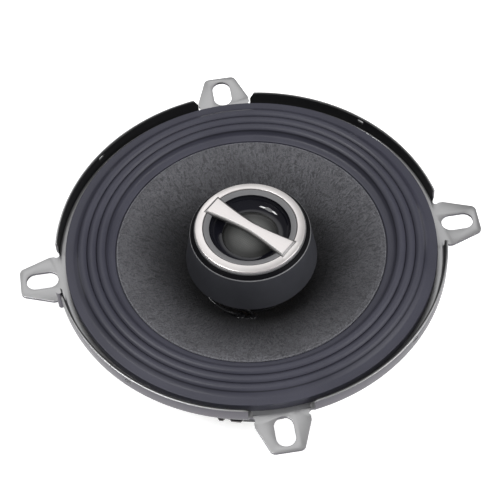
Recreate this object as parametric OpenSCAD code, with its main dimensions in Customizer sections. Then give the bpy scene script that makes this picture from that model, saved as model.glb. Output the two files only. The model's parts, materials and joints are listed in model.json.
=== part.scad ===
// Coaxial car speaker, 5-1/4 inch class: a pressed steel basket with four slotted ears, a cone on a
// multi-roll rubber surround, and a dome tweeter in a pod on a post that stands on the woofer's pole.
// The origin is the centre of the mounting plane, which is the rear face of the ears. +Z faces the
// listener.

/* [Basket] */
// Outside diameter of the upturned rim
rim_d = 133.5; // [112:0.5:160]
// Height of the rim above the rear face of the ears
rim_h = 6.5; // [5:0.1:9]
// Radius of the bend between the flange and the rim
rim_bend = 2; // [1.5:0.1:2.5]
// Thickness of the basket's steel sheet
sheet = 1; // [0.8:0.05:1.2]
// How far the spider's ledge lies behind the mounting plane
ledge_depth = 21; // [18:0.5:26]
// How far the motor seat lies behind the mounting plane
seat_depth = 30; // [28:0.5:36]
// Angle across each of the six side windows
window_angle = 38; // [30:1:42]
// Corner radius of a side window
window_corner = 3; // [1:0.5:4]
// Width of a grille clip hole in the rim
clip_hole_w = 2.4; // [1.5:0.1:4]
// Height of a grille clip hole in the rim
clip_hole_h = 1.4; // [1:0.1:2]

/* [Ears] */
// Reach of an ear beyond the rim
ear_reach = 12.45; // [11.5:0.05:16]
// Width of an ear at its root
ear_root_w = 18.4; // [16:0.1:24]
// Width of an ear at its tip
ear_tip_w = 10.6; // [10:0.1:16]
// Corner radius at an ear's tip
ear_corner = 2; // [1:0.1:3]
// Length of a screw slot
slot_l = 10.9; // [8:0.1:12]
// Width of a screw slot
slot_w = 6.4; // [4:0.1:7.5]
// Distance of a slot's centre outside the rim
slot_out = 4.95; // [4.5:0.05:6]

/* [Surround and cone] */
// Room between the rim's wall and the surround's bead
bead_room = 2.45; // [1:0.05:4]
// Width of the surround's bead
bead_w = 2.8; // [2:0.1:4]
// Height of the surround's bead on the flange
bead_h = 3.5; // [2.5:0.1:5]
// Thickness of the surround's rubber
rubber = 0.8; // [0.6:0.05:1]
// Number of raised rolls in the surround
rolls = 3; // [2:1:4]
// Width of one roll
roll_pitch = 3.2; // [2.5:0.1:3.8]
// Height of a roll's crest above its grooves
roll_h = 1.1; // [0.6:0.1:1.6]
// Height of the grooves above the bead's top
groove_rise = 1.2; // [0.6:0.1:2]
// Width of the slope between the bead and the first groove
outer_slope_w = 1.5; // [1:0.1:3]
// Width of the slope between the last groove and the cone's edge
inner_slope_w = 3.1; // [2:0.1:4]
// Height of the cone's edge above the mounting plane
cone_edge_z = 3.2; // [2.4:0.1:4]
// Thickness of the cone's lip
cone_t = 0.6; // [0.5:0.05:0.8]
// Width of the glued lip around the cone
lip_w = 1.5; // [1:0.1:2.5]
// Height of the cone's neck behind the mounting plane
neck_depth = 15.8; // [14:0.1:17]

/* [Motor] */
// Inside diameter of the voice coil's former
coil_d = 25.5; // [20:0.1:32]
// Wall of the voice coil's former
former_t = 0.3; // [0.2:0.05:0.5]
// Depth of copper winding on the former
winding_t = 0.5; // [0.3:0.05:0.8]
// Height of the winding
winding_h = 9.5; // [6:0.5:11]
// Running gap on either side of the coil
coil_gap = 0.5; // [0.4:0.05:0.8]
// Diameter of the front plate
plate_d = 68; // [66:0.5:76]
// Thickness of the front plate
plate_t = 5; // [4:0.5:7]
// Diameter of the ferrite magnet
magnet_d = 80; // [72:1:100]
// Thickness of the ferrite magnet
magnet_t = 12; // [10:0.5:18]
// Diameter of the yoke's back plate
back_d = 74; // [66:1:92]
// Thickness of the yoke's back plate
back_t = 5; // [4:0.5:8]
// Outside diameter of the spider
spider_d = 79.8; // [76:0.1:90]
// Diameter of the circle on which the front plate's rivets stand
rivet_pcd = 49; // [46:0.5:54]

/* [Tweeter pod] */
// Diameter of the pod at its upper edge
pod_top_d = 40.9; // [40:0.1:49]
// How much wider the pod is at its base
pod_flare = 4.3; // [3.8:0.1:6]
// Height of the pod's floor behind the mounting plane
pod_depth = 2; // [1:0.1:3]
// Height of the pod's upper edge
pod_edge_z = 12.1; // [11.8:0.1:13]
// Thickness of the pod's floor
pod_floor_t = 2; // [1.6:0.1:3]
// Wall of the pod at its upper edge
pod_wall = 1.45; // [1:0.05:2]
// Diameter of the tweeter's dome
dome_d = 18.7; // [17:0.1:19]
// Height of the dome
dome_h = 3.4; // [2:0.1:4]
// Width of the bright trim ring
trim_w = 2.65; // [2:0.05:3.5]
// Width of the grey band inside the trim ring
band_w = 1.95; // [1:0.05:2.5]
// Length of the bar across the tweeter
bar_l = 32.8; // [32:0.1:34]
// Width of the bar at its ends
bar_end_w = 7.8; // [5:0.1:9]
// Width of the bar at its waist
bar_waist_w = 4.1; // [3:0.1:5]
// Width of the bar's bevelled edge
bar_bevel = 0.7; // [0.3:0.1:1]
// Diameter of the tweeter's post
post_d = 16; // [12:0.5:17]

/* [Terminals] */
// Direction of the terminal board, counted from +X
terminal_angle = 254.5; // [240:0.5:280]
// Height of the terminals behind the mounting plane
terminal_depth = 13; // [10:0.5:14]
// Width of the terminal board
board_w = 12.4; // [11:0.1:13]
// Reach of the blades beyond the basket's side
blade_reach = 11; // [8:0.5:14]
// Width of the positive blade
positive_w = 4.8; // [4:0.1:5]
// Width of the negative blade
negative_w = 2.8; // [2:0.1:4]
// Diameter of the crossover capacitor
capacitor_d = 7; // [5:0.5:7.5]
// Length of the crossover capacitor
capacitor_l = 13; // [10:0.5:16]

/* [Hidden] */
$fn = 96;

steel = [0.62, 0.62, 0.64];
zinc = [0.75, 0.75, 0.72];
ferrite = [0.16, 0.16, 0.17];
rubber_grey = [0.29, 0.29, 0.33];
pulp = [0.27, 0.27, 0.29];
black = [0.08, 0.08, 0.09];
silver = [0.87, 0.85, 0.84];
satin_grey = [0.6, 0.6, 0.61];
copper = [0.72, 0.42, 0.26];
cloth = [0.8, 0.68, 0.42];
brown_board = [0.2, 0.14, 0.1];
sleeve_blue = [0.15, 0.3, 0.5];

eps = 0.01;     // a cut's reach past a face
cut = 1;        // a cut's reach past a thin wall
fit = 0.1;      // clearance of a piece in its seat
glue = 0.05;    // a glue line
clearance = 0.3; // least room around moving pieces
arc_steps = 8;  // straight steps in a quarter turn of an outline

// Basket
rim_r = rim_d / 2;
wall_r = rim_r - sheet;
bead_r = wall_r - bead_room;
bead_in_r = bead_r - bead_w;
ledge_edge_w = 2.7;
flange_in_r = bead_in_r - ledge_edge_w;
spider_room = 0.6;
ledge_r = spider_d / 2 + spider_room;
ledge_w = 8.3;
neck_top_r = ledge_r - ledge_w;
neck_taper = 1;
plate_hole_r = coil_d / 2 + former_t + winding_t + coil_gap + clearance;
seat_hole_r = plate_hole_r + 1.4;
side_run = (flange_in_r - ledge_r) / (ledge_depth + sheet);
side_t = sheet * sqrt(1 + side_run * side_run);
window_top = 4;
window_bottom = 18;
ear_gap = 9.4;          // half of the rim's gap at an ear
rim_corner = 3;
relief_r = 1.1;
clip_hole_z = 4.9;
ear_axes = [0, 90, 180, 270];

// Surround and cone
bead_top = sheet + bead_h;
groove_z = bead_top + groove_rise;
outer_groove_r = bead_in_r - outer_slope_w;
inner_groove_r = outer_groove_r - rolls * roll_pitch;
surround_in_r = inner_groove_r - inner_slope_w;
cone_r = surround_in_r - clearance;
lip_in_r = cone_r - lip_w;
former_r = coil_d / 2 + former_t;
neck_r = former_r + glue;
cone_fall = (cone_edge_z + neck_depth) / (lip_in_r - clearance - neck_r);
neck_t = 0.95;
eyelet_r = neck_r + 4.4;
eyelet_hole_r = 0.9;
eyelet_spread = 14;     // degrees between the two eyelets

// Motor
plate_top = -seat_depth;
magnet_top = plate_top - plate_t;
back_top = magnet_top - magnet_t;
motor_bottom = back_top - back_t;
magnet_hole_r = plate_hole_r + 5.8;
pole_r = coil_d / 2 - coil_gap;
pole_top = plate_top + 0.5;
edge_chamfer = 0.8;
former_top = -(neck_depth - 0.8);
winding_middle = plate_top - plate_t / 2;
former_tail = 0.5;
rivet_r = 1.6;
rivet_head_r = 2.6;
rivet_head_t = 0.8;
spider_t = 0.5;
spider_land_w = 3.4;
spider_waves = 5;
spider_wave_h = 0.95;
spider_in_r = former_r + 0.25;
spider_z = -ledge_depth + spider_wave_h + spider_t / 2;

// Tweeter post and pod
pod_bottom = -pod_depth;
pod_floor = pod_bottom + pod_floor_t;
flange_t = 2;
flange_r = 12.4;
screw_ring_r = 9.8;
screw_r = 1.2;
screw_head_r = 2.2;
screw_head_t = 1.3;
post_bore_r = 2;
post_bore_top = pod_bottom - flange_t - 5;
counterbore_r = 4.2;
counterbore_t = 3.5;
pod_top_r = pod_top_d / 2;
pod_bore_r = pod_top_r - pod_wall;
pod_rim_z = pod_edge_z + 1.3;
insert_r = pod_bore_r - fit;
pot_r = 12.5;
pot_wall = 2.6;
pot_floor_t = 2;
pot_h = 7.4;
pot_top = pod_floor + pot_h;
pole_disc_t = 2.4;
ring_t = 1.4;
ring_top = pot_top + ring_t;
dome_r = dome_d / 2;
dome_base = ring_top + 0.2;
dome_t = 0.25;
dome_ball_r = (dome_r * dome_r + dome_h * dome_h) / (2 * dome_h);
throat_r = dome_r + clearance;
throat_z = ring_top + 1.6;
throat_t = 0.5;
lip_t = 0.6;
skirt_t = 1.2;
edge_in_r = dome_r + 0.25;
edge_roll_r = 0.8;
edge_out_r = edge_in_r + 2 * edge_roll_r;
bezel_seat = pod_rim_z - 0.2;
bezel_t = 0.8;
trim_seat = bezel_seat + bezel_t;
trim_out_r = insert_r - 0.3;
trim_in_r = trim_out_r - trim_w;
shadow_gap = 0.2;
band_out_r = trim_in_r - shadow_gap;
band_in_r = band_out_r - band_w;
band_in_z = trim_seat + 0.45;
band_out_z = trim_seat + 0.95;
bowl_top_r = band_in_r - glue;
bowl_top = band_in_z - 0.2;
trim_in_z = trim_seat + 1.1;
trim_out_z = trim_seat + 0.5;
bar_angle = 135;
bar_top = trim_seat + 1.5;
bar_side_h = 0.9;
bar_curve = 1.5;        // how sharply the bar's sides run in to its waist
bar_steps = 12;

// Terminals
blade_t = 0.8;
blade_top = -terminal_depth;
board_t = 1.6;
board_top = blade_top - blade_t;
lug_top = board_top - board_t;
board_in = 4.2;         // reach of the board inside the basket's side
board_out = 6.6;        // reach of the board outside it
terminal_gap = 1.2;     // room between the two blades
negative_y = (negative_w - board_w) / 2 + 1.4;
positive_y = negative_y + negative_w / 2 + terminal_gap + positive_w / 2;
board_r = side_r(blade_top) + side_t;
lug_root = side_t / 2 + side_run * (blade_top - lug_top);
terminal_rivet_x = board_out - 2.4;
slot_room = board_t + blade_t + 0.8;    // height of the slot that the board passes through
terminal_rivet_r = 1;
terminal_rivet_head_r = 1.35;
capacitor_r = ledge_r - 2.3;
capacitor_z = -ledge_depth - sheet - capacitor_d / 2 - glue;

// Lead routes, as points that the wires are drawn through. Those of the tinsel leads and the capacitor's
// wires are [reach from the axis along the terminals, sideways, height].
tinsel_d = 1;
tweeter_lead_d = 1;
capacitor_lead_d = 0.7;
// Two braided leads from the terminals' tails to the underside of the cone
tinsel_routes = [
    [[43.8, -3.4, -12.4], [42, -3.4, -12.2], [38, -3.3, -13.4], [33, -3, -14.6], [28, -2.5, -14.2],
        [24, -2, -12.9], [21, -1.6, -12.9], [18.6, -1.4, -13.95]],
    [[43.8, 1.6, -12.4], [42, 1.6, -12.2], [38, 1.7, -13.6], [33, 1.8, -15], [28, 1.7, -14.6],
        [24, 1.6, -13.1], [21, 1.5, -13], [18.6, 1.4, -13.95]]];

// Two thin leads from holes in the pod's floor, round under its edge, to the eyelets on the cone
tweeter_routes = [
    [[-17.4, -6.6, -2], [-17.6, -6.8, -3.4], [-17.8, -8.8, -4.6], [-16.6, -12.2, -5.6],
        [-13.8, -15.6, -6.6], [-10.4, -17.4, -8.4], [-7.8, -17, -10.6], [-6.8, -16, -12]],
    [[-15.4, -8.6, -2], [-15.2, -9, -3.6], [-14.4, -10.8, -5.4], [-12, -13.2, -7], [-8.8, -14.8, -8],
        [-5.6, -16.2, -8.8], [-3.4, -17, -10.4], [-2.8, -17, -12]]];

// The capacitor's two wires, bent up and out to the terminals
capacitor_routes = [
    [[38.2, -6.5, -25.5], [38.3, -8.2, -25.5], [40, -9.2, -25], [44, -8.6, -22.4], [48.6, -6.8, -18.6],
        [50.6, -4.6, -17.7], [52.2, -3.6, -17.3]],
    [[38.2, 6.5, -25.5], [38.3, 8.2, -25.5], [40, 9.2, -25], [44, 8.4, -22.4], [48.6, 6, -18.6],
        [50.6, 3, -17.7], [52.2, 1.8, -17.3]]];

// Inner face of the basket's side at a height
function side_r(z) = flange_in_r - side_run * (sheet - z);
// A quarter turn from angle a to angle b around a centre
function arc(x, z, r, a, b, steps = arc_steps) =
    [for (i = [0:steps]) [x + r * cos(a + (b - a) * i / steps), z + r * sin(a + (b - a) * i / steps)]];
// A curve through the hand-picked points of a route
function blend_point(a, b, c, d, u) = 0.5 * (2 * b + (c - a) * u + (2 * a - 5 * b + 4 * c - d) * u * u
    + (3 * b - a - 3 * c + d) * u * u * u);
function pick(p, i) = p[max(0, min(len(p) - 1, i))];
function smooth_route(p, steps) = concat([for (i = [0:len(p) - 2]) for (k = [0:steps - 1])
    blend_point(pick(p, i - 1), p[i], p[i + 1], pick(p, i + 2), k / steps)], [p[len(p) - 1]]);
// Turns a route so that its reach points along an angle
function turned(p, angle) = [for (q = p)
    [q[0] * cos(angle) - q[1] * sin(angle), q[0] * sin(angle) + q[1] * cos(angle), q[2]]];
function unit(v) = v / norm(v);
function way(p, i) = unit(pick(p, i + 1) - pick(p, i - 1));

// A round wire swept along a route, with flat ends
module wire(route, d, sides = 8) {
    side_way = [for (i = [0:len(route) - 1]) unit(cross(way(route, i), [0.13, 0.07, 1]))];
    rings = [for (i = [0:len(route) - 1]) for (k = [0:sides - 1])
        route[i] + d / 2 * (cos(360 * k / sides) * side_way[i]
            + sin(360 * k / sides) * cross(side_way[i], way(route, i)))];
    last = len(rings) - sides;
    polyhedron(rings, concat(
        [[for (k = [0:sides - 1]) k]],
        [for (i = [0:len(route) - 2]) for (k = [0:sides - 1])
            let (a = i * sides, b = a + sides, next = (k + 1) % sides) [a + k, b + k, b + next, a + next]],
        [[for (k = [sides - 1:-1:0]) last + k]]));
}

// A screw slot along X, centred on the origin
module slot(length, width, height) {
    for (end = [-1, 1]) translate([end * (length - width) / 2, 0, 0]) cylinder(h = height, d = width);
    translate([-(length - width) / 2, -width / 2, 0]) cube([length - width, width, height]);
}

// Outline of an ear, from inside the flange to its rounded tip
module ear_outline() {
    tip = rim_r + ear_reach;
    polygon(concat([[wall_r - 2, -ear_root_w / 2], [rim_r + 1.8, -ear_root_w / 2]],
        arc(tip - ear_corner, ear_corner - ear_tip_w / 2, ear_corner, -80, 0, 4),
        arc(tip - ear_corner, ear_tip_w / 2 - ear_corner, ear_corner, 0, 80, 4),
        [[rim_r + 1.8, ear_root_w / 2], [wall_r - 2, ear_root_w / 2]]));
}

// The piece of rim that is left out at an ear, with the rim's ends rounded at the top
module rim_gap() {
    rotate([90, 0, 90]) linear_extrude(rim_bend + sheet + 2 * cut) {
        translate([-ear_gap, sheet]) square([2 * ear_gap, rim_h]);
        for (side = [-1, 1]) difference() {
            translate([side * (ear_gap + rim_corner / 2) - rim_corner / 2, rim_h - rim_corner])
                square([rim_corner, rim_corner + cut]);
            translate([side * (ear_gap + rim_corner), rim_h - rim_corner]) circle(rim_corner);
        }
    }
}

// A side window, cut straight outwards through the basket's side
module side_window() {
    half = window_angle / 2;
    rotate([90, 0, 90]) linear_extrude(rim_r) hull()
        for (side = [-1, 1], z = [-window_top - window_corner, -window_bottom + window_corner])
            translate([side * (side_r(z) * sin(half) - window_corner), z]) circle(window_corner, $fn = 32);
}

// Places a piece on the basket's side at the terminals
module at_terminals() {
    rotate(terminal_angle) translate([board_r, 0, 0]) children();
}

module basket() {
    seat_top = plate_top + sheet;
    color(steel) difference() {
        union() {
            rotate_extrude() polygon(concat(
                [[wall_r, rim_h]],
                arc(rim_r - rim_bend, rim_bend, rim_bend - sheet, 0, -90),
                [[flange_in_r, sheet], [ledge_r, -ledge_depth], [neck_top_r, -ledge_depth],
                    [neck_top_r - neck_taper, seat_top], [seat_hole_r, seat_top],
                    [seat_hole_r, plate_top], [neck_top_r - neck_taper + sheet, plate_top],
                    [neck_top_r + sheet, -ledge_depth - sheet],
                    [ledge_r - side_run * sheet + side_t, -ledge_depth - sheet],
                    [side_r(0) + side_t, 0]],
                arc(rim_r - rim_bend, rim_bend, rim_bend, -90, 0),
                [[rim_r, rim_h]]));
            for (a = ear_axes) rotate(a) linear_extrude(sheet) ear_outline();
            // The lug that carries the terminal board
            at_terminals() translate([-lug_root, -board_w / 2, lug_top - sheet])
                cube([board_out + lug_root, board_w, sheet]);
        }
        for (a = ear_axes) rotate(a) {
            translate([wall_r - rim_bend - cut / 2, 0, 0]) rim_gap();
            translate([rim_r + slot_out, 0, -cut]) slot(slot_l, slot_w, sheet + 2 * cut);
            for (side = [-1, 1]) translate([rim_r - 0.6, side * (ear_gap + 0.4), -cut])
                cylinder(h = rim_h + 2 * cut, r = relief_r, $fn = 24);
            rotate(45) translate([wall_r - cut, -clip_hole_w / 2, clip_hole_z - clip_hole_h / 2])
                cube([sheet + 2 * cut, clip_hole_w, clip_hole_h]);
        }
        for (k = [0:5]) rotate(terminal_angle + 30 + 60 * k) side_window();
        at_terminals() {
            translate([-board_r, -board_w / 2 - fit, lug_top]) cube([rim_r, board_w + 2 * fit, slot_room]);
            for (y = [negative_y, positive_y]) translate([terminal_rivet_x, y, lug_top - sheet - cut])
                cylinder(h = sheet + 2 * cut, r = terminal_rivet_r + glue, $fn = 24);
        }
        for (k = [0:3]) rotate(45 + 90 * k) translate([rivet_pcd / 2, 0, plate_top - cut])
            cylinder(h = sheet + 2 * cut, r = rivet_r + glue, $fn = 32);
    }
}

// Height of the surround's upper face at a radius between its lip and its bead
function surround_z(r) =
    r > outer_groove_r ? bead_top + groove_rise * (bead_in_r - r) / outer_slope_w :
    r < inner_groove_r ?
        groove_z - (groove_z - cone_edge_z + cone_t) * (inner_groove_r - r) / inner_slope_w :
    groove_z + roll_h * abs(sin(180 * (outer_groove_r - r) / roll_pitch));

module surround() {
    roll_steps = 8;
    lip_z = cone_edge_z - cone_t;
    rolls_out = [for (i = [0:rolls * roll_steps]) outer_groove_r - i * roll_pitch / roll_steps];
    path = concat([bead_in_r], rolls_out, [surround_in_r]);
    color(rubber_grey) rotate_extrude() polygon(concat(
        [[bead_r, sheet], [bead_r, bead_top - 0.3], [bead_r - 0.3, bead_top]],
        [for (r = path) [r, surround_z(r)]],
        [[lip_in_r + 0.2, lip_z], [lip_in_r + 0.2, lip_z - rubber], [surround_in_r + 0.4, lip_z - rubber]],
        [for (i = [len(rolls_out) - 1:-1:0]) [rolls_out[i], surround_z(rolls_out[i]) - rubber]],
        [[bead_in_r - 0.4, sheet + 1.2], [bead_in_r - 0.4, sheet]]));
}

// The two places beside the terminals where leads pass through the cone
module at_eyelets() {
    for (side = [-1, 1]) rotate(terminal_angle + side * eyelet_spread / 2)
        translate([eyelet_r, 0, -neck_depth + (eyelet_r - neck_r) * cone_fall])
            rotate([0, -atan(cone_fall), 0]) children();
}

module cone() {
    color(pulp) difference() {
        rotate_extrude() polygon([[neck_r, -neck_depth], [lip_in_r - clearance, cone_edge_z],
            [cone_r, cone_edge_z], [cone_r, cone_edge_z - cone_t], [lip_in_r, cone_edge_z - cone_t],
            [neck_r, -neck_depth - neck_t]]);
        at_eyelets() translate([0, 0, -neck_t - cut])
            cylinder(h = neck_t + 2 * cut, r = eyelet_hole_r + glue, $fn = 24);
    }
}

module lead_eyelets() {
    head_t = 0.4;
    head_rise = 0.08;       // a flat head stands a little off the hollow of the cone
    color(zinc) at_eyelets() {
        translate([0, 0, -neck_t]) cylinder(h = neck_t + head_rise + head_t, r = eyelet_hole_r, $fn = 24);
        translate([0, 0, head_rise]) cylinder(h = head_t, r = 1.5, $fn = 24);
    }
}

module tube(r_in, r_out, bottom, top) {
    translate([0, 0, bottom]) difference() {
        cylinder(h = top - bottom, r = r_out);
        translate([0, 0, -cut]) cylinder(h = top - bottom + 2 * cut, r = r_in);
    }
}

module voice_coil_former() {
    color(cloth) tube(coil_d / 2, former_r, winding_middle - winding_h / 2 - former_tail, former_top);
}

module voice_coil_winding() {
    color(copper) tube(former_r + glue, former_r + winding_t,
        winding_middle - winding_h / 2, winding_middle + winding_h / 2);
}

// Height of the middle of the spider's cloth at a radius
function spider_mid(r, r_in, r_out) = r < r_in || r > r_out ? spider_z - spider_wave_h :
    spider_z - spider_wave_h * cos(360 * spider_waves * (r - r_in) / (r_out - r_in));

module spider() {
    r_out = spider_d / 2;
    wave_in = spider_in_r + 2.5;
    wave_out = r_out - spider_land_w;
    steps = spider_waves * 8;
    path = concat([spider_in_r], [for (i = [0:steps]) wave_in + (wave_out - wave_in) * i / steps], [r_out]);
    color(cloth) rotate_extrude() polygon(concat(
        [for (r = path) [r, spider_mid(r, wave_in, wave_out) - spider_t / 2]],
        [for (i = [len(path) - 1:-1:0]) [path[i], spider_mid(path[i], wave_in, wave_out) + spider_t / 2]]));
}

// A flat ring with chamfered outer edges
module chamfered_ring(r_in, r_out, bottom, top, chamfer) {
    rotate_extrude() polygon([[r_in, bottom], [r_out - chamfer, bottom], [r_out, bottom + chamfer],
        [r_out, top - chamfer], [r_out - chamfer, top], [r_in, top]]);
}

module front_plate() {
    color(zinc) difference() {
        chamfered_ring(plate_hole_r, plate_d / 2, magnet_top, plate_top, 0.4);
        for (k = [0:3]) rotate(45 + 90 * k) translate([rivet_pcd / 2, 0, magnet_top - cut])
            cylinder(h = plate_t + 2 * cut, r = rivet_r + glue, $fn = 32);
    }
}

module front_plate_rivets() {
    color(zinc) for (k = [0:3]) rotate(45 + 90 * k) translate([rivet_pcd / 2, 0, 0]) {
        translate([0, 0, magnet_top + glue]) cylinder(h = plate_t + sheet - glue, r = rivet_r, $fn = 32);
        translate([0, 0, plate_top + sheet]) cylinder(h = rivet_head_t, r = rivet_head_r, $fn = 32);
    }
}

module magnet() {
    color(ferrite) chamfered_ring(magnet_hole_r, magnet_d / 2, back_top, magnet_top, edge_chamfer);
}

module yoke() {
    color(zinc) rotate_extrude() polygon([[post_bore_r + 0.3, motor_bottom + counterbore_t],
        [counterbore_r, motor_bottom + counterbore_t], [counterbore_r, motor_bottom],
        [back_d / 2 - edge_chamfer, motor_bottom], [back_d / 2, motor_bottom + edge_chamfer],
        [back_d / 2, back_top], [pole_r, back_top], [pole_r, pole_top], [post_bore_r + 0.3, pole_top]]);
}

module at_pod_screws() {
    for (k = [0:2]) rotate(30 + 120 * k) translate([screw_ring_r, 0, 0]) children();
}

module tweeter_post() {
    color(black) difference() {
        union() {
            translate([0, 0, pole_top]) cylinder(h = pod_bottom - pole_top, d = post_d);
            translate([0, 0, pod_bottom - flange_t]) cylinder(h = flange_t, r = flange_r);
        }
        translate([0, 0, pole_top - cut])
            cylinder(h = post_bore_top - pole_top + cut, r = post_bore_r + glue, $fn = 32);
        at_pod_screws() translate([0, 0, pod_bottom - flange_t - cut])
            cylinder(h = flange_t + 2 * cut, r = screw_r + glue, $fn = 24);
    }
}

module post_screw() {
    head_t = 3;
    head_z = motor_bottom + counterbore_t;
    color(zinc) difference() {
        union() {
            translate([0, 0, head_z - head_t]) cylinder(h = head_t, r = 3.5, $fn = 48);
            translate([0, 0, head_z - eps])
                cylinder(h = post_bore_top - head_z - 1, r = post_bore_r, $fn = 32);
        }
        translate([0, 0, head_z - head_t - eps]) cylinder(h = 1.8, r = 1.7, $fn = 6);
    }
}

// The cone-headed recess and the head that lies in it share one outline
module countersunk(r, head_r) {
    translate([0, 0, pod_floor - screw_head_t]) cylinder(h = screw_head_t, r1 = r, r2 = head_r, $fn = 24);
}

module pod_housing() {
    base_r = (pod_top_d + pod_flare) / 2;
    color(black) difference() {
        rotate_extrude() polygon([[0, pod_bottom], [base_r - 0.6, pod_bottom], [base_r, pod_bottom + 0.6],
            [pod_top_r, pod_edge_z], [pod_bore_r + fit, pod_rim_z], [pod_bore_r, pod_rim_z],
            [pod_bore_r, throat_z - 3.8], [pod_bore_r + 1.2, throat_z - 5], [pod_bore_r + 1.6, pod_floor],
            [pot_r + 1.2, pod_floor], [pot_r + 1.2, pod_floor + 1.5], [pot_r + fit, pod_floor + 1.5],
            [pot_r + fit, pod_floor], [0, pod_floor]]);
        at_pod_screws() {
            translate([0, 0, pod_bottom - cut])
                cylinder(h = pod_floor_t + 2 * cut, r = screw_r + fit, $fn = 24);
            countersunk(screw_r + fit, screw_head_r + fit);
        }
        for (route = tweeter_routes) translate([route[0][0], route[0][1], pod_bottom - cut])
            cylinder(h = pod_floor_t + 2 * cut, r = tweeter_lead_d / 2 + fit, $fn = 24);
    }
}

module pod_screws() {
    color(zinc) at_pod_screws() difference() {
        union() {
            translate([0, 0, pod_bottom - flange_t])
                cylinder(h = flange_t + pod_floor_t - screw_head_t + eps, r = screw_r, $fn = 24);
            countersunk(screw_r, screw_head_r);
        }
        for (turn = [0, 90]) rotate(turn) translate([-1.2, -0.25, pod_floor - 0.7]) cube([2.4, 0.5, 1]);
    }
}

module tweeter_pot() {
    color(zinc) rotate_extrude() polygon([[0, pod_floor], [pot_r, pod_floor], [pot_r, pot_top],
        [pot_r - pot_wall, pot_top], [pot_r - pot_wall, pod_floor + pot_floor_t],
        [0, pod_floor + pot_floor_t]]);
}

module tweeter_magnet() {
    color(silver) translate([0, 0, pod_floor + pot_floor_t])
        cylinder(h = pot_h - pot_floor_t - pole_disc_t, r = dome_r - 1.3);
}

module tweeter_pole_disc() {
    color(zinc) translate([0, 0, pot_top - pole_disc_t]) cylinder(h = pole_disc_t, r = dome_r - 0.85);
}

module diaphragm_ring() {
    color(black) tube(edge_out_r, insert_r - 2, pot_top, ring_top);
}

module dome_edge() {
    middle = edge_in_r + edge_roll_r;
    color(black) rotate_extrude() polygon(concat(
        arc(middle, dome_base, edge_roll_r, 180, 0, 12),
        [[edge_out_r + 2.3, dome_base], [edge_out_r + 2.3, ring_top], [edge_out_r, ring_top]],
        arc(middle, dome_base - 0.2, edge_roll_r, 0, 180, 12)));
}

module tweeter_dome() {
    ball_z = dome_base + dome_h - dome_ball_r;
    color(pulp) difference() {
        translate([0, 0, ball_z]) sphere(dome_ball_r);
        translate([0, 0, ball_z]) sphere(dome_ball_r - dome_t);
        translate([0, 0, dome_base - 2 * dome_ball_r]) cube(4 * dome_ball_r, center = true);
    }
}

module tweeter_coil() {
    color(copper) tube(dome_r - 0.4, dome_r - 0.1, pot_top - pole_disc_t + 0.2, dome_base);
}

module waveguide() {
    bowl_w = bowl_top_r - throat_r;
    bowl_h = bowl_top - throat_z;
    bowl = [for (i = [0:2 * arc_steps]) let (a = 90 * i / (2 * arc_steps))
        [throat_r + bowl_w * sin(a), bowl_top - bowl_h * cos(a)]];
    color(black) difference() {
        rotate_extrude() polygon(concat(bowl, [
            [bowl_top_r + lip_t, bowl_top], [bowl_top_r + lip_t, bezel_seat], [insert_r, bezel_seat],
            [insert_r, pot_top - 0.6], [insert_r - skirt_t, pot_top - 0.6],
            [insert_r - skirt_t, bezel_seat - skirt_t], [insert_r - 3.4, bezel_seat - skirt_t],
            [insert_r - 3.4, ring_top], [insert_r - 4.8, ring_top],
            [throat_r + 3, throat_z - throat_t], [throat_r, throat_z - throat_t]]));
        bar_notch();
    }
}

// Half of the bar's width at a distance from its middle, drawn in by a bevel
function bar_half(x, bevel) = bar_waist_w / 2 - bevel
    + (bar_end_w - bar_waist_w) / 2 * pow(abs(x) / (bar_l / 2), bar_curve);

// Outline of the bar, seen from the front
function bar_outline(bevel, half_l = bar_l / 2) = concat(
    [for (i = [-bar_steps:bar_steps]) let (x = half_l * i / bar_steps) [x, -bar_half(x, bevel)]],
    [for (i = [bar_steps:-1:-bar_steps]) let (x = half_l * i / bar_steps) [x, bar_half(x, bevel)]]);

// The notch that takes the bar, a little wider than it
module bar_notch() {
    rotate(bar_angle) translate([0, 0, trim_seat]) linear_extrude(3)
        polygon(bar_outline(-glue, bar_l / 2 + glue));
}

module bezel() {
    color(satin_grey) difference() {
        rotate_extrude() polygon([[band_in_r, bowl_top], [band_in_r, band_in_z], [band_out_r, band_out_z],
            [band_out_r, trim_seat], [insert_r, trim_seat], [insert_r, bezel_seat],
            [bowl_top_r + lip_t + glue, bezel_seat], [bowl_top_r + lip_t + glue, bowl_top]]);
        bar_notch();
    }
}

module trim_ring() {
    color(silver) difference() {
        rotate_extrude() polygon([[trim_in_r, trim_seat], [trim_in_r, trim_in_z - 0.15],
            [trim_in_r + 0.15, trim_in_z], [trim_out_r - 0.3, trim_out_z + 0.1],
            [trim_out_r, trim_out_z - 0.15], [trim_out_r, trim_seat]]);
        bar_notch();
    }
}

// A closed outline moved inwards by one distance, with mitred corners
function inset(outline, distance) = let (n = len(outline)) [for (i = [0:n - 1])
    let (u = outline[i] - outline[(i + n - 1) % n], v = outline[(i + 1) % n] - outline[i],
        a = [-u[1], u[0]] / norm(u), b = [-v[1], v[0]] / norm(v))
    outline[i] + distance * (a + b) / (1 + a * b)];

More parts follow.
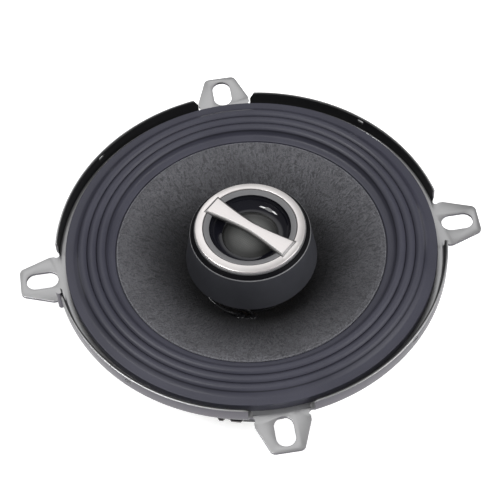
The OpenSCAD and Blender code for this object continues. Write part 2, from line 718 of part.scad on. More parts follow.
module diffuser_bar() {
    side = 2 * bar_steps + 1;
    count = 2 * side;
    foot = bar_outline(0);
    face = inset(foot, bar_bevel);
    points = concat([for (p = foot) [p[0], p[1], trim_seat]],
        [for (p = foot) [p[0], p[1], trim_seat + bar_side_h]], [for (p = face) [p[0], p[1], bar_top]]);
    // the flat faces are cut in strips across the bar
    strips = [for (k = [0:side - 2]) [k, k + 1, count - 2 - k, count - 1 - k]];
    walls = [for (layer = [0, 1]) for (k = [0:count - 1]) let (a = layer * count, b = (k + 1) % count)
        [a + k, a + count + k, a + count + b, a + b]];
    color(silver) rotate(bar_angle) polyhedron(points, concat(strips, walls,
        [for (s = strips) [for (k = [3:-1:0]) 2 * count + s[k]]]));
}

module terminal_board() {
    color(brown_board) at_terminals() difference() {
        translate([-side_t - board_in, -board_w / 2, lug_top])
            cube([board_in + side_t + board_out, board_w, board_t]);
        for (y = [negative_y, positive_y]) translate([terminal_rivet_x, y, lug_top - cut])
            cylinder(h = board_t + 2 * cut, r = terminal_rivet_r + glue, $fn = 24);
    }
}

// A blade terminal with a chamfered tip and a narrow tail for its lead
module blade(y, width) {
    tail_w = 1.6;
    tip = 1;
    at_terminals() difference() {
        translate([0, y, blade_top - blade_t]) linear_extrude(blade_t) polygon([
            [-side_t - board_in + 0.6, -tail_w / 2], [0, -tail_w / 2], [0, -width / 2],
            [blade_reach - tip, -width / 2], [blade_reach, -width / 2 + tip * 0.8],
            [blade_reach, width / 2 - tip * 0.8], [blade_reach - tip, width / 2], [0, width / 2],
            [0, tail_w / 2], [-side_t - board_in + 0.6, tail_w / 2]]);
        translate([terminal_rivet_x, y, blade_top - blade_t - cut])
            cylinder(h = blade_t + 2 * cut, r = terminal_rivet_r + glue, $fn = 24);
    }
}

module positive_terminal() {
    color(zinc) blade(positive_y, positive_w);
}

module negative_terminal() {
    color(zinc) blade(negative_y, negative_w);
}

module terminal_rivets() {
    head_t = 0.5;
    foot = lug_top - sheet - head_t;
    color(zinc) at_terminals() for (y = [negative_y, positive_y]) translate([terminal_rivet_x, y, 0]) {
        translate([0, 0, foot]) cylinder(h = blade_top + head_t - foot, r = terminal_rivet_r, $fn = 24);
        translate([0, 0, blade_top]) cylinder(h = head_t, r = terminal_rivet_head_r, $fn = 24);
        translate([0, 0, foot]) cylinder(h = head_t, r = terminal_rivet_head_r + 0.6, $fn = 24);
    }
}

module tinsel_leads() {
    color(copper) for (route = tinsel_routes)
        wire(smooth_route(turned(route, terminal_angle), 4), tinsel_d);
}

module tweeter_leads() {
    color(black) for (route = tweeter_routes) wire(smooth_route(route, 4), tweeter_lead_d);
}

module crossover_capacitor() {
    end = capacitor_l / 2;
    radius = capacitor_d / 2;
    edge = 0.4;
    color(sleeve_blue) rotate(terminal_angle) translate([capacitor_r, 0, capacitor_z])
        rotate([90, 0, 0]) rotate_extrude() polygon([[0, -end], [radius - edge, -end], [radius, edge - end],
            [radius, end - edge], [radius - edge, end], [0, end]]);
}

module capacitor_leads() {
    color(zinc) for (route = capacitor_routes)
        wire(smooth_route(turned(route, terminal_angle), 3), capacitor_lead_d);
}

basket();
surround();
cone();
voice_coil_former();
voice_coil_winding();
spider();
front_plate();
front_plate_rivets();
magnet();
yoke();
tweeter_post();
post_screw();
pod_housing();
pod_screws();
tweeter_pot();
tweeter_magnet();
tweeter_pole_disc();
diaphragm_ring();
dome_edge();
tweeter_dome();
tweeter_coil();
waveguide();
bezel();
trim_ring();
diffuser_bar();
terminal_board();
positive_terminal();
negative_terminal();
terminal_rivets();
lead_eyelets();
tinsel_leads();
tweeter_leads();
crossover_capacitor();
capacitor_leads();
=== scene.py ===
import json
import math

import bmesh
import bpy
import numpy as np
from bpy.props import FloatProperty, FloatVectorProperty, IntProperty, PointerProperty
from mathutils import Matrix, Vector

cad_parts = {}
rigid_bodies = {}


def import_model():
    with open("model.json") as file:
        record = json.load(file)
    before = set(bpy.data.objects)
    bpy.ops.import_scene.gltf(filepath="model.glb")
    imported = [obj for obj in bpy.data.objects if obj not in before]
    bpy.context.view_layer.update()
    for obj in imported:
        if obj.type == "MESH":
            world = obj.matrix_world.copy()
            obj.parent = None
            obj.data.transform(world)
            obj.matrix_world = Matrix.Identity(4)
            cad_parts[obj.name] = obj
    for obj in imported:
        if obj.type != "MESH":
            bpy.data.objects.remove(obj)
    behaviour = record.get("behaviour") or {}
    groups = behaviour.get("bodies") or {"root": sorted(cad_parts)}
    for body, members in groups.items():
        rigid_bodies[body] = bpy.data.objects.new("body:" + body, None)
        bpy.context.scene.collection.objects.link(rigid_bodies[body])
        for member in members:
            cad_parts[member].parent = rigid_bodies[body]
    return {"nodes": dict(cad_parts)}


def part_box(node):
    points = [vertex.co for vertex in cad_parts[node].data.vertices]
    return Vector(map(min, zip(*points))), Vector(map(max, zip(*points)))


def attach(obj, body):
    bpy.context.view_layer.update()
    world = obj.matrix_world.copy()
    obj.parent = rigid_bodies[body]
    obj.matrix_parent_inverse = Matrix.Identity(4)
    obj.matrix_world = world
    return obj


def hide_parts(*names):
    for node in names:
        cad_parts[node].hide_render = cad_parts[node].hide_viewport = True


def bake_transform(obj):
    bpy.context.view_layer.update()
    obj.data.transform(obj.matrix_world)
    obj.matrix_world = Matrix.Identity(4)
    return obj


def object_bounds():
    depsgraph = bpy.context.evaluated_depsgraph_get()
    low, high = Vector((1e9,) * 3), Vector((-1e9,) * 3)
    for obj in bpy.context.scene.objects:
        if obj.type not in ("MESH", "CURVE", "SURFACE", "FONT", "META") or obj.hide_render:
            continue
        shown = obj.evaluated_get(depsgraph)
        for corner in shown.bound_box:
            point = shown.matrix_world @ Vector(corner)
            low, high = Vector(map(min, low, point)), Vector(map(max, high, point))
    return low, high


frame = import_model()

bl_info = {
    "name": "Coaxial Car Speaker",
    "version": (1, 0, 0),
    "blender": (4, 5, 0),
    "location": "3D View > Sidebar > Speaker",
    "description": "Builds the finished surfaces of a coaxial car speaker around its packed frame",
    "category": "Add Mesh",
}

CAD_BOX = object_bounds()
MM = 0.001
ROLLS = 3                # rolls of the surround
BOARD_BOTTOM = -15.4     # height of the terminal board's lower face, in millimetres
FRAME_BODY = "frame"
CONE_BODY = "woofer_cone"
DOME_BODY = "tweeter_diaphragm"


# ---------------------------------------------------------------------------------------------------
# Sizes, read from the frame where it has them
# ---------------------------------------------------------------------------------------------------

def radius_of(node):
    """Outer radius of a round CAD node, in millimetres."""
    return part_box(node)[1][0] / MM


def bottom_of(node):
    """Height of a CAD node's lowest point, in millimetres."""
    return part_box(node)[0][2] / MM


def top_of(node):
    """Height of a CAD node's highest point, in millimetres."""
    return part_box(node)[1][2] / MM


def size(name, description, default):
    """A length property whose default is given in millimetres."""
    return FloatProperty(name=name, description=description, default=default * MM, unit="LENGTH", precision=5)


def color(name, description, default):
    """A colour property of a finish."""
    return FloatVectorProperty(name=name, description=description, default=default, subtype="COLOR",
                               size=3, min=0.0, max=1.0)


class SpeakerBasketSizes(bpy.types.PropertyGroup):
    rim: size("Rim radius", "Outer radius of the upturned rim", 66.75)
    rim_top: size("Rim height", "Height of the rim above the mounting plane", top_of("basket"))
    sheet: size("Sheet", "Thickness of the pressed steel", 1.0)
    rim_bend: size("Rim bend", "Outer radius of the bend below the rim", 2.0)
    flange_in: size("Flange inner radius", "Where the flange turns down into the side", 57.8)
    ledge: size("Ledge radius", "Outer radius of the spider's ledge", radius_of("spider") + 0.6)
    ledge_width: size("Ledge width", "Width of the spider's ledge", 8.3)
    ledge_z: size("Ledge height", "Height of the spider's ledge", -21.0)
    seat_z: size("Seat height", "Lower face of the motor seat", top_of("front_plate"))
    seat_hole: size("Seat hole", "Radius of the hole in the motor seat", 15.75)
    ear_tip: size("Ear reach", "Distance of an ear's tip from the axis", radius_of("basket"))
    ear_root_width: size("Ear root width", "Width of an ear at the rim", 18.4)
    ear_tip_width: size("Ear tip width", "Width of an ear at its tip", 10.6)
    ear_corner: size("Ear corner", "Corner radius of an ear", 2.0)
    slot_circle: size("Slot circle", "Distance of a slot's centre from the axis", 71.7)
    slot_length: size("Slot length", "Length of a screw slot", 10.9)
    slot_width: size("Slot width", "Width of a screw slot", 6.4)
    rim_gap: size("Rim gap", "Half of the rim's gap at an ear", 9.4)
    rim_corner: size("Rim corner", "Radius of the rim's upper corners at a gap", 3.0)
    window_top: size("Window top", "Upper edge of a side window", -4.0)
    window_bottom: size("Window bottom", "Lower edge of a side window", -18.0)
    window_angle: FloatProperty(name="Window angle", description="Angle across a side window",
                                default=math.radians(38), subtype="ANGLE")
    window_corner: size("Window corner", "Corner radius of a side window", 3.0)


class SpeakerConeSizes(bpy.types.PropertyGroup):
    bead: size("Bead radius", "Outer radius of the surround's bead", radius_of("surround"))
    bead_width: size("Bead width", "Width of the surround's bead", 2.8)
    bead_top: size("Bead top", "Upper face of the surround's bead", 4.5)
    groove_z: size("Groove height", "Height of the grooves between the rolls", 5.7)
    roll_pitch: size("Roll pitch", "Width of one roll", 3.2)
    roll_height: size("Roll height", "Height of a roll's crest", top_of("surround") - 5.7)
    outer_slope: size("Outer slope", "Width of the slope beside the bead", 1.5)
    inner_slope: size("Inner slope", "Width of the slope beside the cone", 3.1)
    rubber: size("Rubber", "Thickness of the surround", 0.8)
    edge: size("Cone edge", "Outer radius of the cone", radius_of("cone"))
    edge_z: size("Edge height", "Height of the cone's edge", top_of("cone"))
    lip: size("Glued lip", "Width of the cone's glued lip", 1.5)
    lip_thickness: size("Lip thickness", "Thickness of the cone's lip", 0.6)
    neck: size("Neck radius", "Inner radius of the cone's neck", 13.1)
    neck_z: size("Neck height", "Height of the cone's neck", -15.8)
    wall: size("Cone wall", "Thickness of the cone at its neck", 0.95)
    wrinkle: size("Wrinkle depth", "Depth of the wrinkles in the pressed pulp", 0.16)
    spider_wave: size("Spider wave", "Height of the spider's corrugations", 0.95)


class SpeakerPodSizes(bpy.types.PropertyGroup):
    base: size("Pod base radius", "Outer radius of the pod at its base", radius_of("pod_housing"))
    shoulder: size("Pod edge radius", "Outer radius of the pod at its upper edge", 20.45)
    shoulder_z: size("Pod edge height", "Height of the pod's upper edge", 12.1)
    bore: size("Pod bore", "Radius of the bore that takes the tweeter", 19.0)
    dome: size("Dome radius", "Radius of the tweeter's dome", radius_of("tweeter_dome"))
    throat: size("Throat radius", "Radius of the bowl's throat", 9.65)
    throat_z: size("Throat height", "Height of the bowl's throat", 10.4)
    bowl: size("Bowl radius", "Radius of the bowl's upper edge", 13.75)
    band: size("Band radius", "Outer radius of the grey band", 15.75)
    ring_in: size("Ring inner radius", "Inner radius of the bright ring", 15.95)
    seat_z: size("Trim seat", "Height of the ledge that carries ring and bar", bottom_of("trim_ring"))
    bar_length: size("Bar length", "Length of the bar across the tweeter", 32.8)
    bar_end: size("Bar end width", "Width of the bar at its ends", 7.8)
    bar_waist: size("Bar waist width", "Width of the bar at its waist", 4.1)
    bar_bevel: size("Bar bevel", "Width of the bar's bevelled edge", 0.7)
    bar_angle: FloatProperty(name="Bar angle", description="Direction of the bar from +X",
                             default=math.radians(135), subtype="ANGLE")


class SpeakerTerminalSizes(bpy.types.PropertyGroup):
    angle: FloatProperty(name="Terminal direction", description="Direction of the terminals from +X",
                         default=math.radians(254.5), subtype="ANGLE")
    tinsel: size("Tinsel lead", "Diameter of a braided lead", 1.0)
    tweeter_lead: size("Tweeter lead", "Diameter of a tweeter lead", 1.0)
    capacitor_wire: size("Capacitor wire", "Diameter of the capacitor's wires", 0.7)


class SpeakerFinishes(bpy.types.PropertyGroup):
    coat: color("Steel coat", "Grey metallic coat of the basket's flat faces", (0.47, 0.47, 0.475))
    # painted shade: the darker tone that the basket's upright faces are given
    side_coat: color("Side shade", "Painted shade on the basket's upright faces", (0.085, 0.081, 0.094))
    rubber: color("Rubber", "Rubber of the surround", (0.035, 0.035, 0.049))
    pulp: color("Pulp", "Paper pulp of the cone", (0.085, 0.085, 0.093))
    plastic: color("Black plastic", "Moulded plastic of the pod", (0.022, 0.0225, 0.026))
    gloss: color("Gloss black", "Polished black of the bowl", (0.006, 0.006, 0.009))
    band: color("Grey band", "Satin grey of the band round the bowl", (0.145, 0.145, 0.15))
    trim: color("Trim", "Satin aluminium of the ring and the bar", (0.9, 0.862, 0.852))
    cloth: color("Dome cloth", "Coated cloth of the dome", (0.07, 0.071, 0.069))
    resin_cloth: color("Spider cloth", "Resin-dipped cloth of the spider", (0.42, 0.27, 0.09))
    zinc: color("Zinc plate", "Bright zinc plate of the motor", (0.56, 0.56, 0.53))
    ferrite: color("Ferrite", "Ground ferrite of the magnet", (0.03, 0.03, 0.033))
    copper: color("Copper", "Enamelled copper wire", (0.62, 0.25, 0.1))


class SpeakerStudio(bpy.types.PropertyGroup):
    azimuth: FloatProperty(name="Camera azimuth", description="Direction the camera looks from",
                           default=math.radians(-5.756), subtype="ANGLE")
    elevation: FloatProperty(name="Camera elevation", description="Height angle of the camera",
                             default=math.radians(54.296), subtype="ANGLE")
    roll: FloatProperty(name="Camera roll", description="Turn of the camera about its own axis",
                        default=math.radians(-3.45), subtype="ANGLE")
    distance: size("Camera distance", "Distance of the camera from the mounting plane's centre", 600.76)
    lens: FloatProperty(name="Lens", description="Focal length on a 36 mm sensor, in millimetres",
                        default=126.37)
    floor: FloatProperty(name="Floor size", description="Width of the pale floor", default=6.0, unit="LENGTH")
    sky_back: FloatProperty(name="Sky behind", description="Strength of the light behind the speaker",
                            default=1.1)
    sky_front: FloatProperty(name="Sky in front", description="Strength of the light on the camera's side",
                             default=0.15)
    steps: IntProperty(name="Round steps", description="Steps in a full turn of a round piece", default=192)


PROPERTY_GROUPS = {
    "speaker_basket": SpeakerBasketSizes,
    "speaker_cone": SpeakerConeSizes,
    "speaker_pod": SpeakerPodSizes,
    "speaker_terminals": SpeakerTerminalSizes,
    "speaker_finishes": SpeakerFinishes,
    "speaker_studio": SpeakerStudio,
}


def sizes(group):
    """The lengths of a property group, in millimetres, and its angles, in radians."""
    owner = getattr(bpy.context.scene, group)

    class Lengths:
        pass
    for name in owner.__annotations__:
        value = getattr(owner, name)
        is_length = owner.bl_rna.properties[name].unit == "LENGTH"
        setattr(Lengths, name, value / MM if is_length else value)
    return Lengths


# ---------------------------------------------------------------------------------------------------
# Outlines, as (radius, height) or (x, y) points in millimetres
# ---------------------------------------------------------------------------------------------------

def rounded(corners, steps=4):
    """Rounds each corner (x, y, radius) of a closed outline, and leaves a corner (x, y) sharp."""
    outline = []
    count = len(corners)
    for i, corner in enumerate(corners):
        here = Vector(corner[:2])
        fillet = corner[2] if len(corner) > 2 else 0
        before = Vector(corners[i - 1][:2]) - here
        after = Vector(corners[(i + 1) % count][:2]) - here
        if not fillet:
            outline.append(tuple(here))
            continue
        half = before.angle(after) / 2
        back = min(fillet / math.tan(half), 0.49 * before.length, 0.49 * after.length)
        fillet = back * math.tan(half)
        centre = here + (before.normalized() + after.normalized()).normalized() * fillet / math.sin(half)
        start = here + before.normalized() * back - centre
        turn = start.angle_signed(here + after.normalized() * back - centre)
        for k in range(steps + 1):
            spoke = start.copy()
            spoke.rotate(Matrix.Rotation(-turn * k / steps, 2))
            outline.append(tuple(centre + spoke))
    return outline


def arc(x, y, radius, start, end, steps):
    """Points along an arc, from one angle to another in degrees."""
    angles = [math.radians(start + (end - start) * k / steps) for k in range(steps + 1)]
    return [(x + radius * math.cos(a), y + radius * math.sin(a)) for a in angles]


def rounded_box(half_width, bottom, top, corner):
    """An upright rectangle about the middle, with rounded corners."""
    return rounded([(-half_width, bottom, corner), (half_width, bottom, corner),
                    (half_width, top, corner), (-half_width, top, corner)], 3)


def stadium(x, y, length, width, steps=12):
    """A slot's outline, with its length along X."""
    reach = (length - width) / 2
    return arc(x + reach, y, width / 2, -90, 90, steps) + arc(x - reach, y, width / 2, 90, 270, steps)


# ---------------------------------------------------------------------------------------------------
# Modelling with Blender's own tools
# ---------------------------------------------------------------------------------------------------

def deselect():
    """Leaves edit mode and selects nothing."""
    if bpy.context.object and bpy.context.object.mode != "OBJECT":
        bpy.ops.object.mode_set(mode="OBJECT")
    bpy.ops.object.select_all(action="DESELECT")


def pick(*pieces):
    """Selects these objects and nothing else; the first is active."""
    deselect()
    for piece in pieces:
        piece.select_set(True)
    bpy.context.view_layer.objects.active = pieces[0]


def start_mesh(name):
    """Adds a plane, gathers it to one vertex and stays in edit mode with that vertex selected."""
    deselect()
    bpy.ops.mesh.primitive_plane_add(size=MM, location=(0, 0, 0))
    piece = bpy.context.object
    piece.name = piece.data.name = name
    bpy.ops.object.mode_set(mode="EDIT")
    bpy.ops.mesh.select_mode(type="VERT")
    bpy.ops.mesh.select_all(action="SELECT")
    bpy.ops.mesh.merge(type="CENTER")
    return piece


def draw_loop(points):
    """Extrudes the selected vertex along points, in metres, and closes the loop."""
    bpy.ops.transform.translate(value=points[0])
    here = Vector(points[0])
    for point in [*points[1:], points[0]]:
        bpy.ops.mesh.extrude_vertices_move(TRANSFORM_OT_translate={"value": Vector(point) - here})
        here = Vector(point)
    bpy.ops.mesh.select_all(action="SELECT")
    bpy.ops.mesh.remove_doubles(threshold=1e-7)


def close_mesh(merge=2e-6):
    """Merges doubles, turns the faces outwards and leaves edit mode."""
    bpy.ops.mesh.select_all(action="SELECT")
    bpy.ops.mesh.remove_doubles(threshold=merge)
    bpy.ops.mesh.normals_make_consistent(inside=False)
    bpy.ops.object.mode_set(mode="OBJECT")


def smooth(piece, angle=38):
    """Shades a piece smooth, with edges sharper than the angle kept."""
    pick(piece)
    bpy.ops.object.shade_smooth_by_angle(angle=math.radians(angle))


def lathe(name, outline, steps=None, centre=(0, 0, 0), axis=(0, 0, 1), out=(1, 0, 0)):
    """Spins a closed outline of (radius, height) points, in millimetres, about an axis."""
    steps = steps or bpy.context.scene.speaker_studio.steps
    centre, axis, out = Vector(centre) * MM, Vector(axis), Vector(out)
    piece = start_mesh(name)
    draw_loop([centre + out * r * MM + axis * h * MM for r, h in outline])
    bpy.ops.mesh.select_all(action="SELECT")
    bpy.ops.mesh.spin(steps=steps, angle=math.tau, center=centre, axis=axis)
    close_mesh()
    smooth(piece)
    return piece


def plate(name, outline, bottom, top, spin=0.0, lift="Z"):
    """Raises an outline of (x, y) points, in millimetres, from bottom to top, turned by spin about Z.
    With lift X the outline is (y, z) and the plate runs along X."""
    turn = Matrix.Rotation(spin, 3, "Z")
    if lift == "Z":
        points = [turn @ Vector((x, y, bottom)) * MM for x, y in outline]
        way = Vector((0, 0, top - bottom)) * MM
    else:
        points = [turn @ Vector((bottom, y, z)) * MM for y, z in outline]
        way = turn @ Vector((top - bottom, 0, 0)) * MM
    piece = start_mesh(name)
    draw_loop(points)
    bpy.ops.mesh.select_all(action="SELECT")
    bpy.ops.mesh.edge_face_add()
    bpy.ops.mesh.extrude_region_move(TRANSFORM_OT_translate={"value": way})
    close_mesh()
    return piece


def modify(piece, kind, **settings):
    """Adds a modifier with these settings and applies it."""
    pick(piece)
    modifier = piece.modifiers.new(kind.title(), kind)
    for key, value in settings.items():
        setattr(modifier, key, value)
    bpy.ops.object.modifier_apply(modifier=modifier.name)
    return piece


def bevel(piece, width, segments=2, angle=40):
    """Rounds a piece's sharp edges by a width in millimetres."""
    return modify(piece, "BEVEL", width=width * MM, segments=segments, limit_method="ANGLE",
                  angle_limit=math.radians(angle), use_clamp_overlap=True)


def combine(piece, others, how="DIFFERENCE"):
    """Cuts the others out of a piece, or joins them to it, and removes them."""
    others = list(others)
    if len(others) > 1:
        pick(*others)
        bpy.ops.object.join()
    modify(piece, "BOOLEAN", object=others[0], operation=how, solver="EXACT")
    pick(others[0])
    bpy.ops.object.delete()
    return piece


def finished_copy(node, edge=0.0, angle=30):
    """A copy of a small CAD node, with its loose triangles merged and its edges softened."""
    pick(frame["nodes"][node])
    bpy.ops.object.duplicate()
    piece = bpy.context.object
    piece.name = node + "_finished"
    bpy.ops.object.parent_clear(type="CLEAR_KEEP_TRANSFORM")
    bpy.ops.object.mode_set(mode="EDIT")
    bpy.ops.mesh.select_all(action="SELECT")
    bpy.ops.mesh.remove_doubles(threshold=1e-6)
    bpy.ops.mesh.dissolve_limited(angle_limit=math.radians(1))
    bpy.ops.object.mode_set(mode="OBJECT")
    if edge:
        bevel(piece, edge, 2, angle)
    smooth(piece)
    return piece


def finish_piece(piece, node, body, material):
    """Gives a piece its material and body, and lets it stand for its CAD node."""
    if not piece.data.polygons:
        raise RuntimeError(f"{piece.name} has no faces")
    piece.data.materials.clear()
    piece.data.materials.append(material)
    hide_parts(node)
    if body:
        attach(piece, body)
    return piece


def blend_by_radius(piece):
    """Bakes a round sheet's placement into its mesh; the sheet is not bent between bodies."""
    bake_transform(piece)


# ---------------------------------------------------------------------------------------------------
# Effects that several materials share
# ---------------------------------------------------------------------------------------------------

class Nodes:
    """A node tree being wired: each call adds one node and links what it is given."""

    def __init__(self, tree):
        self.tree = tree

    def add(self, kind, inputs=(), out=0, **settings):
        node = self.tree.nodes.new(kind)
        for key, value in settings.items():
            setattr(node, key, value)
        for key, value in dict(inputs).items():
            socket = node.inputs[key]
            if isinstance(value, bpy.types.NodeSocket):
                self.tree.links.new(value, socket)
            else:
                socket.default_value = value
        return node.outputs[out]

    def math(self, operation, *values):
        """One arithmetic step."""
        return self.add("ShaderNodeMath", enumerate(values), operation=operation)

    def ramp(self, value, low, high, start=0.0, end=1.0):
        """Runs from start to end while value runs from low to high."""
        return self.add("ShaderNodeMapRange", {"Value": value, "From Min": low, "From Max": high,
                                               "To Min": start, "To Max": end}, "Result")

    def noise(self, vector, scale, detail, roughness=0.5, distortion=0.0, out=0):
        """Cloudy noise, from its value or its colour output."""
        return self.add("ShaderNodeTexNoise", {"Vector": vector, "Scale": scale, "Detail": detail,
                                               "Roughness": roughness, "Distortion": distortion}, out)

    def split(self, vector):
        """The X, Y and Z of a vector."""
        return tuple(self.add("ShaderNodeSeparateXYZ", {"Vector": vector}).node.outputs)

    def reach(self, x, y):
        """Distance from the Z axis."""
        return self.math("SQRT", self.math("ADD", self.math("MULTIPLY", x, x), self.math("MULTIPLY", y, y)))

    def up(self):
        """How far the surface looks up: 1 on a level face and 0 on an upright one."""
        return self.split(self.add("ShaderNodeNewGeometry", out="Normal"))[2]


def effect(name, inputs, outputs, build):
    """A shader node group with named inputs and outputs, built once."""
    group = bpy.data.node_groups.get(name)
    if group:
        return group
    group = bpy.data.node_groups.new(name, "ShaderNodeTree")
    for title, default in inputs.items():
        kind = "NodeSocketVector" if default is None else "NodeSocketFloat"
        socket = group.interface.new_socket(title, in_out="INPUT", socket_type=kind)
        if default is not None:
            socket.default_value = default
    for title in outputs:
        group.interface.new_socket(title, in_out="OUTPUT", socket_type="NodeSocketFloat")
    source = group.nodes.new("NodeGroupInput").outputs
    sink = group.nodes.new("NodeGroupOutput").inputs
    for title, value in build(Nodes(group), source).items():
        group.links.new(value, sink[title])
    return group


def grain_effect():
    """Fine moulded or sprayed grain, with broad slow patches for colour."""
    def build(n, given):
        fine = n.noise(given["Vector"], given["Scale"], 3.0, 0.6)
        patches = n.noise(given["Vector"], n.math("MULTIPLY", given["Scale"], 0.018), 4.0, 0.55)
        return {"Height": fine, "Patches": n.ramp(patches, 0.35, 0.65)}
    return effect("Fine grain", {"Vector": None, "Scale": 2600.0}, ["Height", "Patches"], build)


def place_effect():
    """Where a point is: its height, its reach from the Z axis and how far it looks up."""
    def build(n, given):
        x, y, z = n.split(given["Vector"])
        return {"Height": z, "Reach": n.reach(x, y), "Up": n.up()}
    return effect("Place", {"Vector": None}, ["Height", "Reach", "Up"], build)


def dust_effect():
    """Settled dust: a mask on faces that look up, broken by specks."""
    def build(n, given):
        specks = n.noise(given["Vector"], given["Speck scale"], 5.0, 0.7)
        return {"Mask": n.math("MULTIPLY", n.ramp(n.up(), 0.35, 1.0), n.ramp(specks, 0.5, 0.72))}
    return effect("Settled dust", {"Vector": None, "Speck scale": 900.0}, ["Mask"], build)


def turning_effect():
    """Fine circles about the Z axis, as turning or circular brushing leaves them."""
    def build(n, given):
        x, y, z = n.split(given["Vector"])
        section = n.add("ShaderNodeCombineXYZ", {"X": n.reach(x, y), "Z": z})
        rings = n.noise(section, given["Scale"], 4.0, 0.7)
        cloud = n.noise(given["Vector"], 160.0, 3.0)
        return {"Height": rings, "Patches": n.ramp(cloud, 0.35, 0.65)}
    return effect("Turning marks", {"Vector": None, "Scale": 5000.0}, ["Height", "Patches"], build)


def brushed_effect():
    """Straight hairlines along X."""
    def build(n, given):
        stretched = n.add("ShaderNodeMapping", {"Vector": given["Vector"], "Scale": (0.03, 1.0, 1.0)})
        return {"Height": n.noise(stretched, given["Scale"], 4.0, 0.65)}
    return effect("Hairlines", {"Vector": None, "Scale": 6000.0}, ["Height"], build)


def weave_effect():
    """Plain-woven threads: over and under, seen from the front."""
    def build(n, given):
        x, y, _ = n.split(given["Vector"])
        turns = n.math("MULTIPLY", given["Threads"], math.pi)
        warp = n.math("SINE", n.math("MULTIPLY", x, turns))
        weft = n.math("SINE", n.math("MULTIPLY", y, turns))
        fuzz = n.noise(given["Vector"], given["Threads"], 3.0)
        threads = n.ramp(n.math("MULTIPLY", warp, weft), -1.0, 1.0)
        return {"Height": n.math("ADD", threads, n.math("MULTIPLY", fuzz, 0.6)), "Threads": threads}
    return effect("Plain weave", {"Vector": None, "Threads": 2000.0}, ["Height", "Threads"], build)


def wrinkle_effect():
    """Creases in pressed pulp: they run out from the neck and break up into a fine crackle."""
    def build(n, given):
        x, y, _ = n.split(given["Vector"])
        reach = n.reach(x, y)
        spread, stretch = 0.03, 0.3      # the creases' map: a circle's radius, and its pull along the reach
        polar = n.add("ShaderNodeCombineXYZ", {
            "X": n.math("DIVIDE", n.math("MULTIPLY", x, spread), reach),
            "Y": n.math("DIVIDE", n.math("MULTIPLY", y, spread), reach),
            "Z": n.math("MULTIPLY", reach, stretch)})
        bend = n.noise(given["Vector"], 260.0, 2.0, out="Color")
        shift = n.add("ShaderNodeVectorMath", {0: bend, 3: 0.0022}, operation="SCALE")
        bent = n.add("ShaderNodeVectorMath", {0: polar, 1: shift}, operation="ADD")
        spokes = n.noise(bent, given["Scale"], 3.0, 0.6)
        crackle = n.noise(given["Vector"], given["Scale"], 4.0, 0.65, 0.6)
        folds = n.math("ABSOLUTE", n.math("SUBTRACT", crackle, 0.5))
        creases = n.math("ABSOLUTE", n.math("SUBTRACT", spokes, 0.5))
        middle = n.ramp(reach, 0.02, 0.044, 1.3, 0.6)
        folded = n.math("ADD", n.math("MULTIPLY", creases, middle), n.math("MULTIPLY", folds, 0.7))
        height = n.math("SUBTRACT", 1.0, folded)
        return {"Height": height, "Folds": n.ramp(height, 0.86, 1.0)}
    return effect("Pulp wrinkles", {"Vector": None, "Scale": 950.0}, ["Height", "Folds"], build)


# ---------------------------------------------------------------------------------------------------
# Materials
# ---------------------------------------------------------------------------------------------------

class Finish(Nodes):
    """A material with one Principled shader, and the wiring that its maker adds to it."""

    def __init__(self, name, base, roughness, metallic=0.0, **constants):
        self.material = bpy.data.materials.new(name)
        self.material.use_nodes = True
        super().__init__(self.material.node_tree)
        self.shader = self.tree.nodes["Principled BSDF"]
        self.base = (*base, 1.0)
        self.set("Base Color", self.base)
        self.set("Roughness", roughness)
        self.set("Metallic", metallic)
        for key, value in constants.items():
            self.set(key.replace("_", " "), value)
        self.place = self.add("ShaderNodeTexCoord", out="Object")

    def set(self, socket, value):
        """Sets one of the shader's sockets, or links it."""
        if isinstance(value, bpy.types.NodeSocket):
            self.tree.links.new(value, self.shader.inputs[socket])
        else:
            self.shader.inputs[socket].default_value = value

    def use(self, group, place=None, **inputs):
        """Places a shared effect and returns its outputs by name."""
        node = self.tree.nodes.new("ShaderNodeGroup")
        node.node_tree = group
        self.tree.links.new(place or self.place, node.inputs["Vector"])
        for key, value in inputs.items():
            node.inputs[key.replace("_", " ")].default_value = value
        return node.outputs

    def shift(self, mask, colour, base=None):
        """Base colour that turns to another where mask is 1."""
        mix = self.tree.nodes.new("ShaderNodeMix")
        mix.data_type = "RGBA"
        self.tree.links.new(mask, mix.inputs[0])
        if isinstance(base, bpy.types.NodeSocket):
            self.tree.links.new(base, mix.inputs[6])
        else:
            mix.inputs[6].default_value = self.base
        mix.inputs[7].default_value = (*colour, 1.0)
        self.set("Base Color", mix.outputs[2])
        return mix.outputs[2]

    def bump(self, height, strength, depth, under=None):
        """Bump from a height, with its depth in millimetres, over another bump if one is given."""
        inputs = {"Height": height, "Strength": strength, "Distance": depth * MM}
        if under is not None:
            inputs["Normal"] = under
        normal = self.add("ShaderNodeBump", inputs)
        self.set("Normal", normal)
        return normal

    def grained(self, scale, tone, strength, depth, rough=None):
        """Fine grain in the bump, with patches of another tone and roughness."""
        grain = self.use(grain_effect(), Scale=scale)
        self.bump(grain["Height"], strength, depth)
        if rough:
            self.set("Roughness", self.ramp(grain["Patches"], 0.0, 1.0, *rough))
        return self.shift(grain["Patches"], scaled(self.base[:3], tone))

    def dusted(self, specks, amount, tone, base):
        """Settled dust over a colour."""
        mask = self.use(dust_effect(), Speck_scale=specks)["Mask"]
        return self.shift(self.math("MULTIPLY", mask, amount), scaled(self.base[:3], tone), base)


def scaled(colour, factor):
    """A colour made lighter or darker by a factor."""
    return tuple(min(1.0, c * factor) for c in colour)


def finish_colour(name):
    """The colour that the panel gives for a finish."""
    return tuple(getattr(bpy.context.scene.speaker_finishes, name))


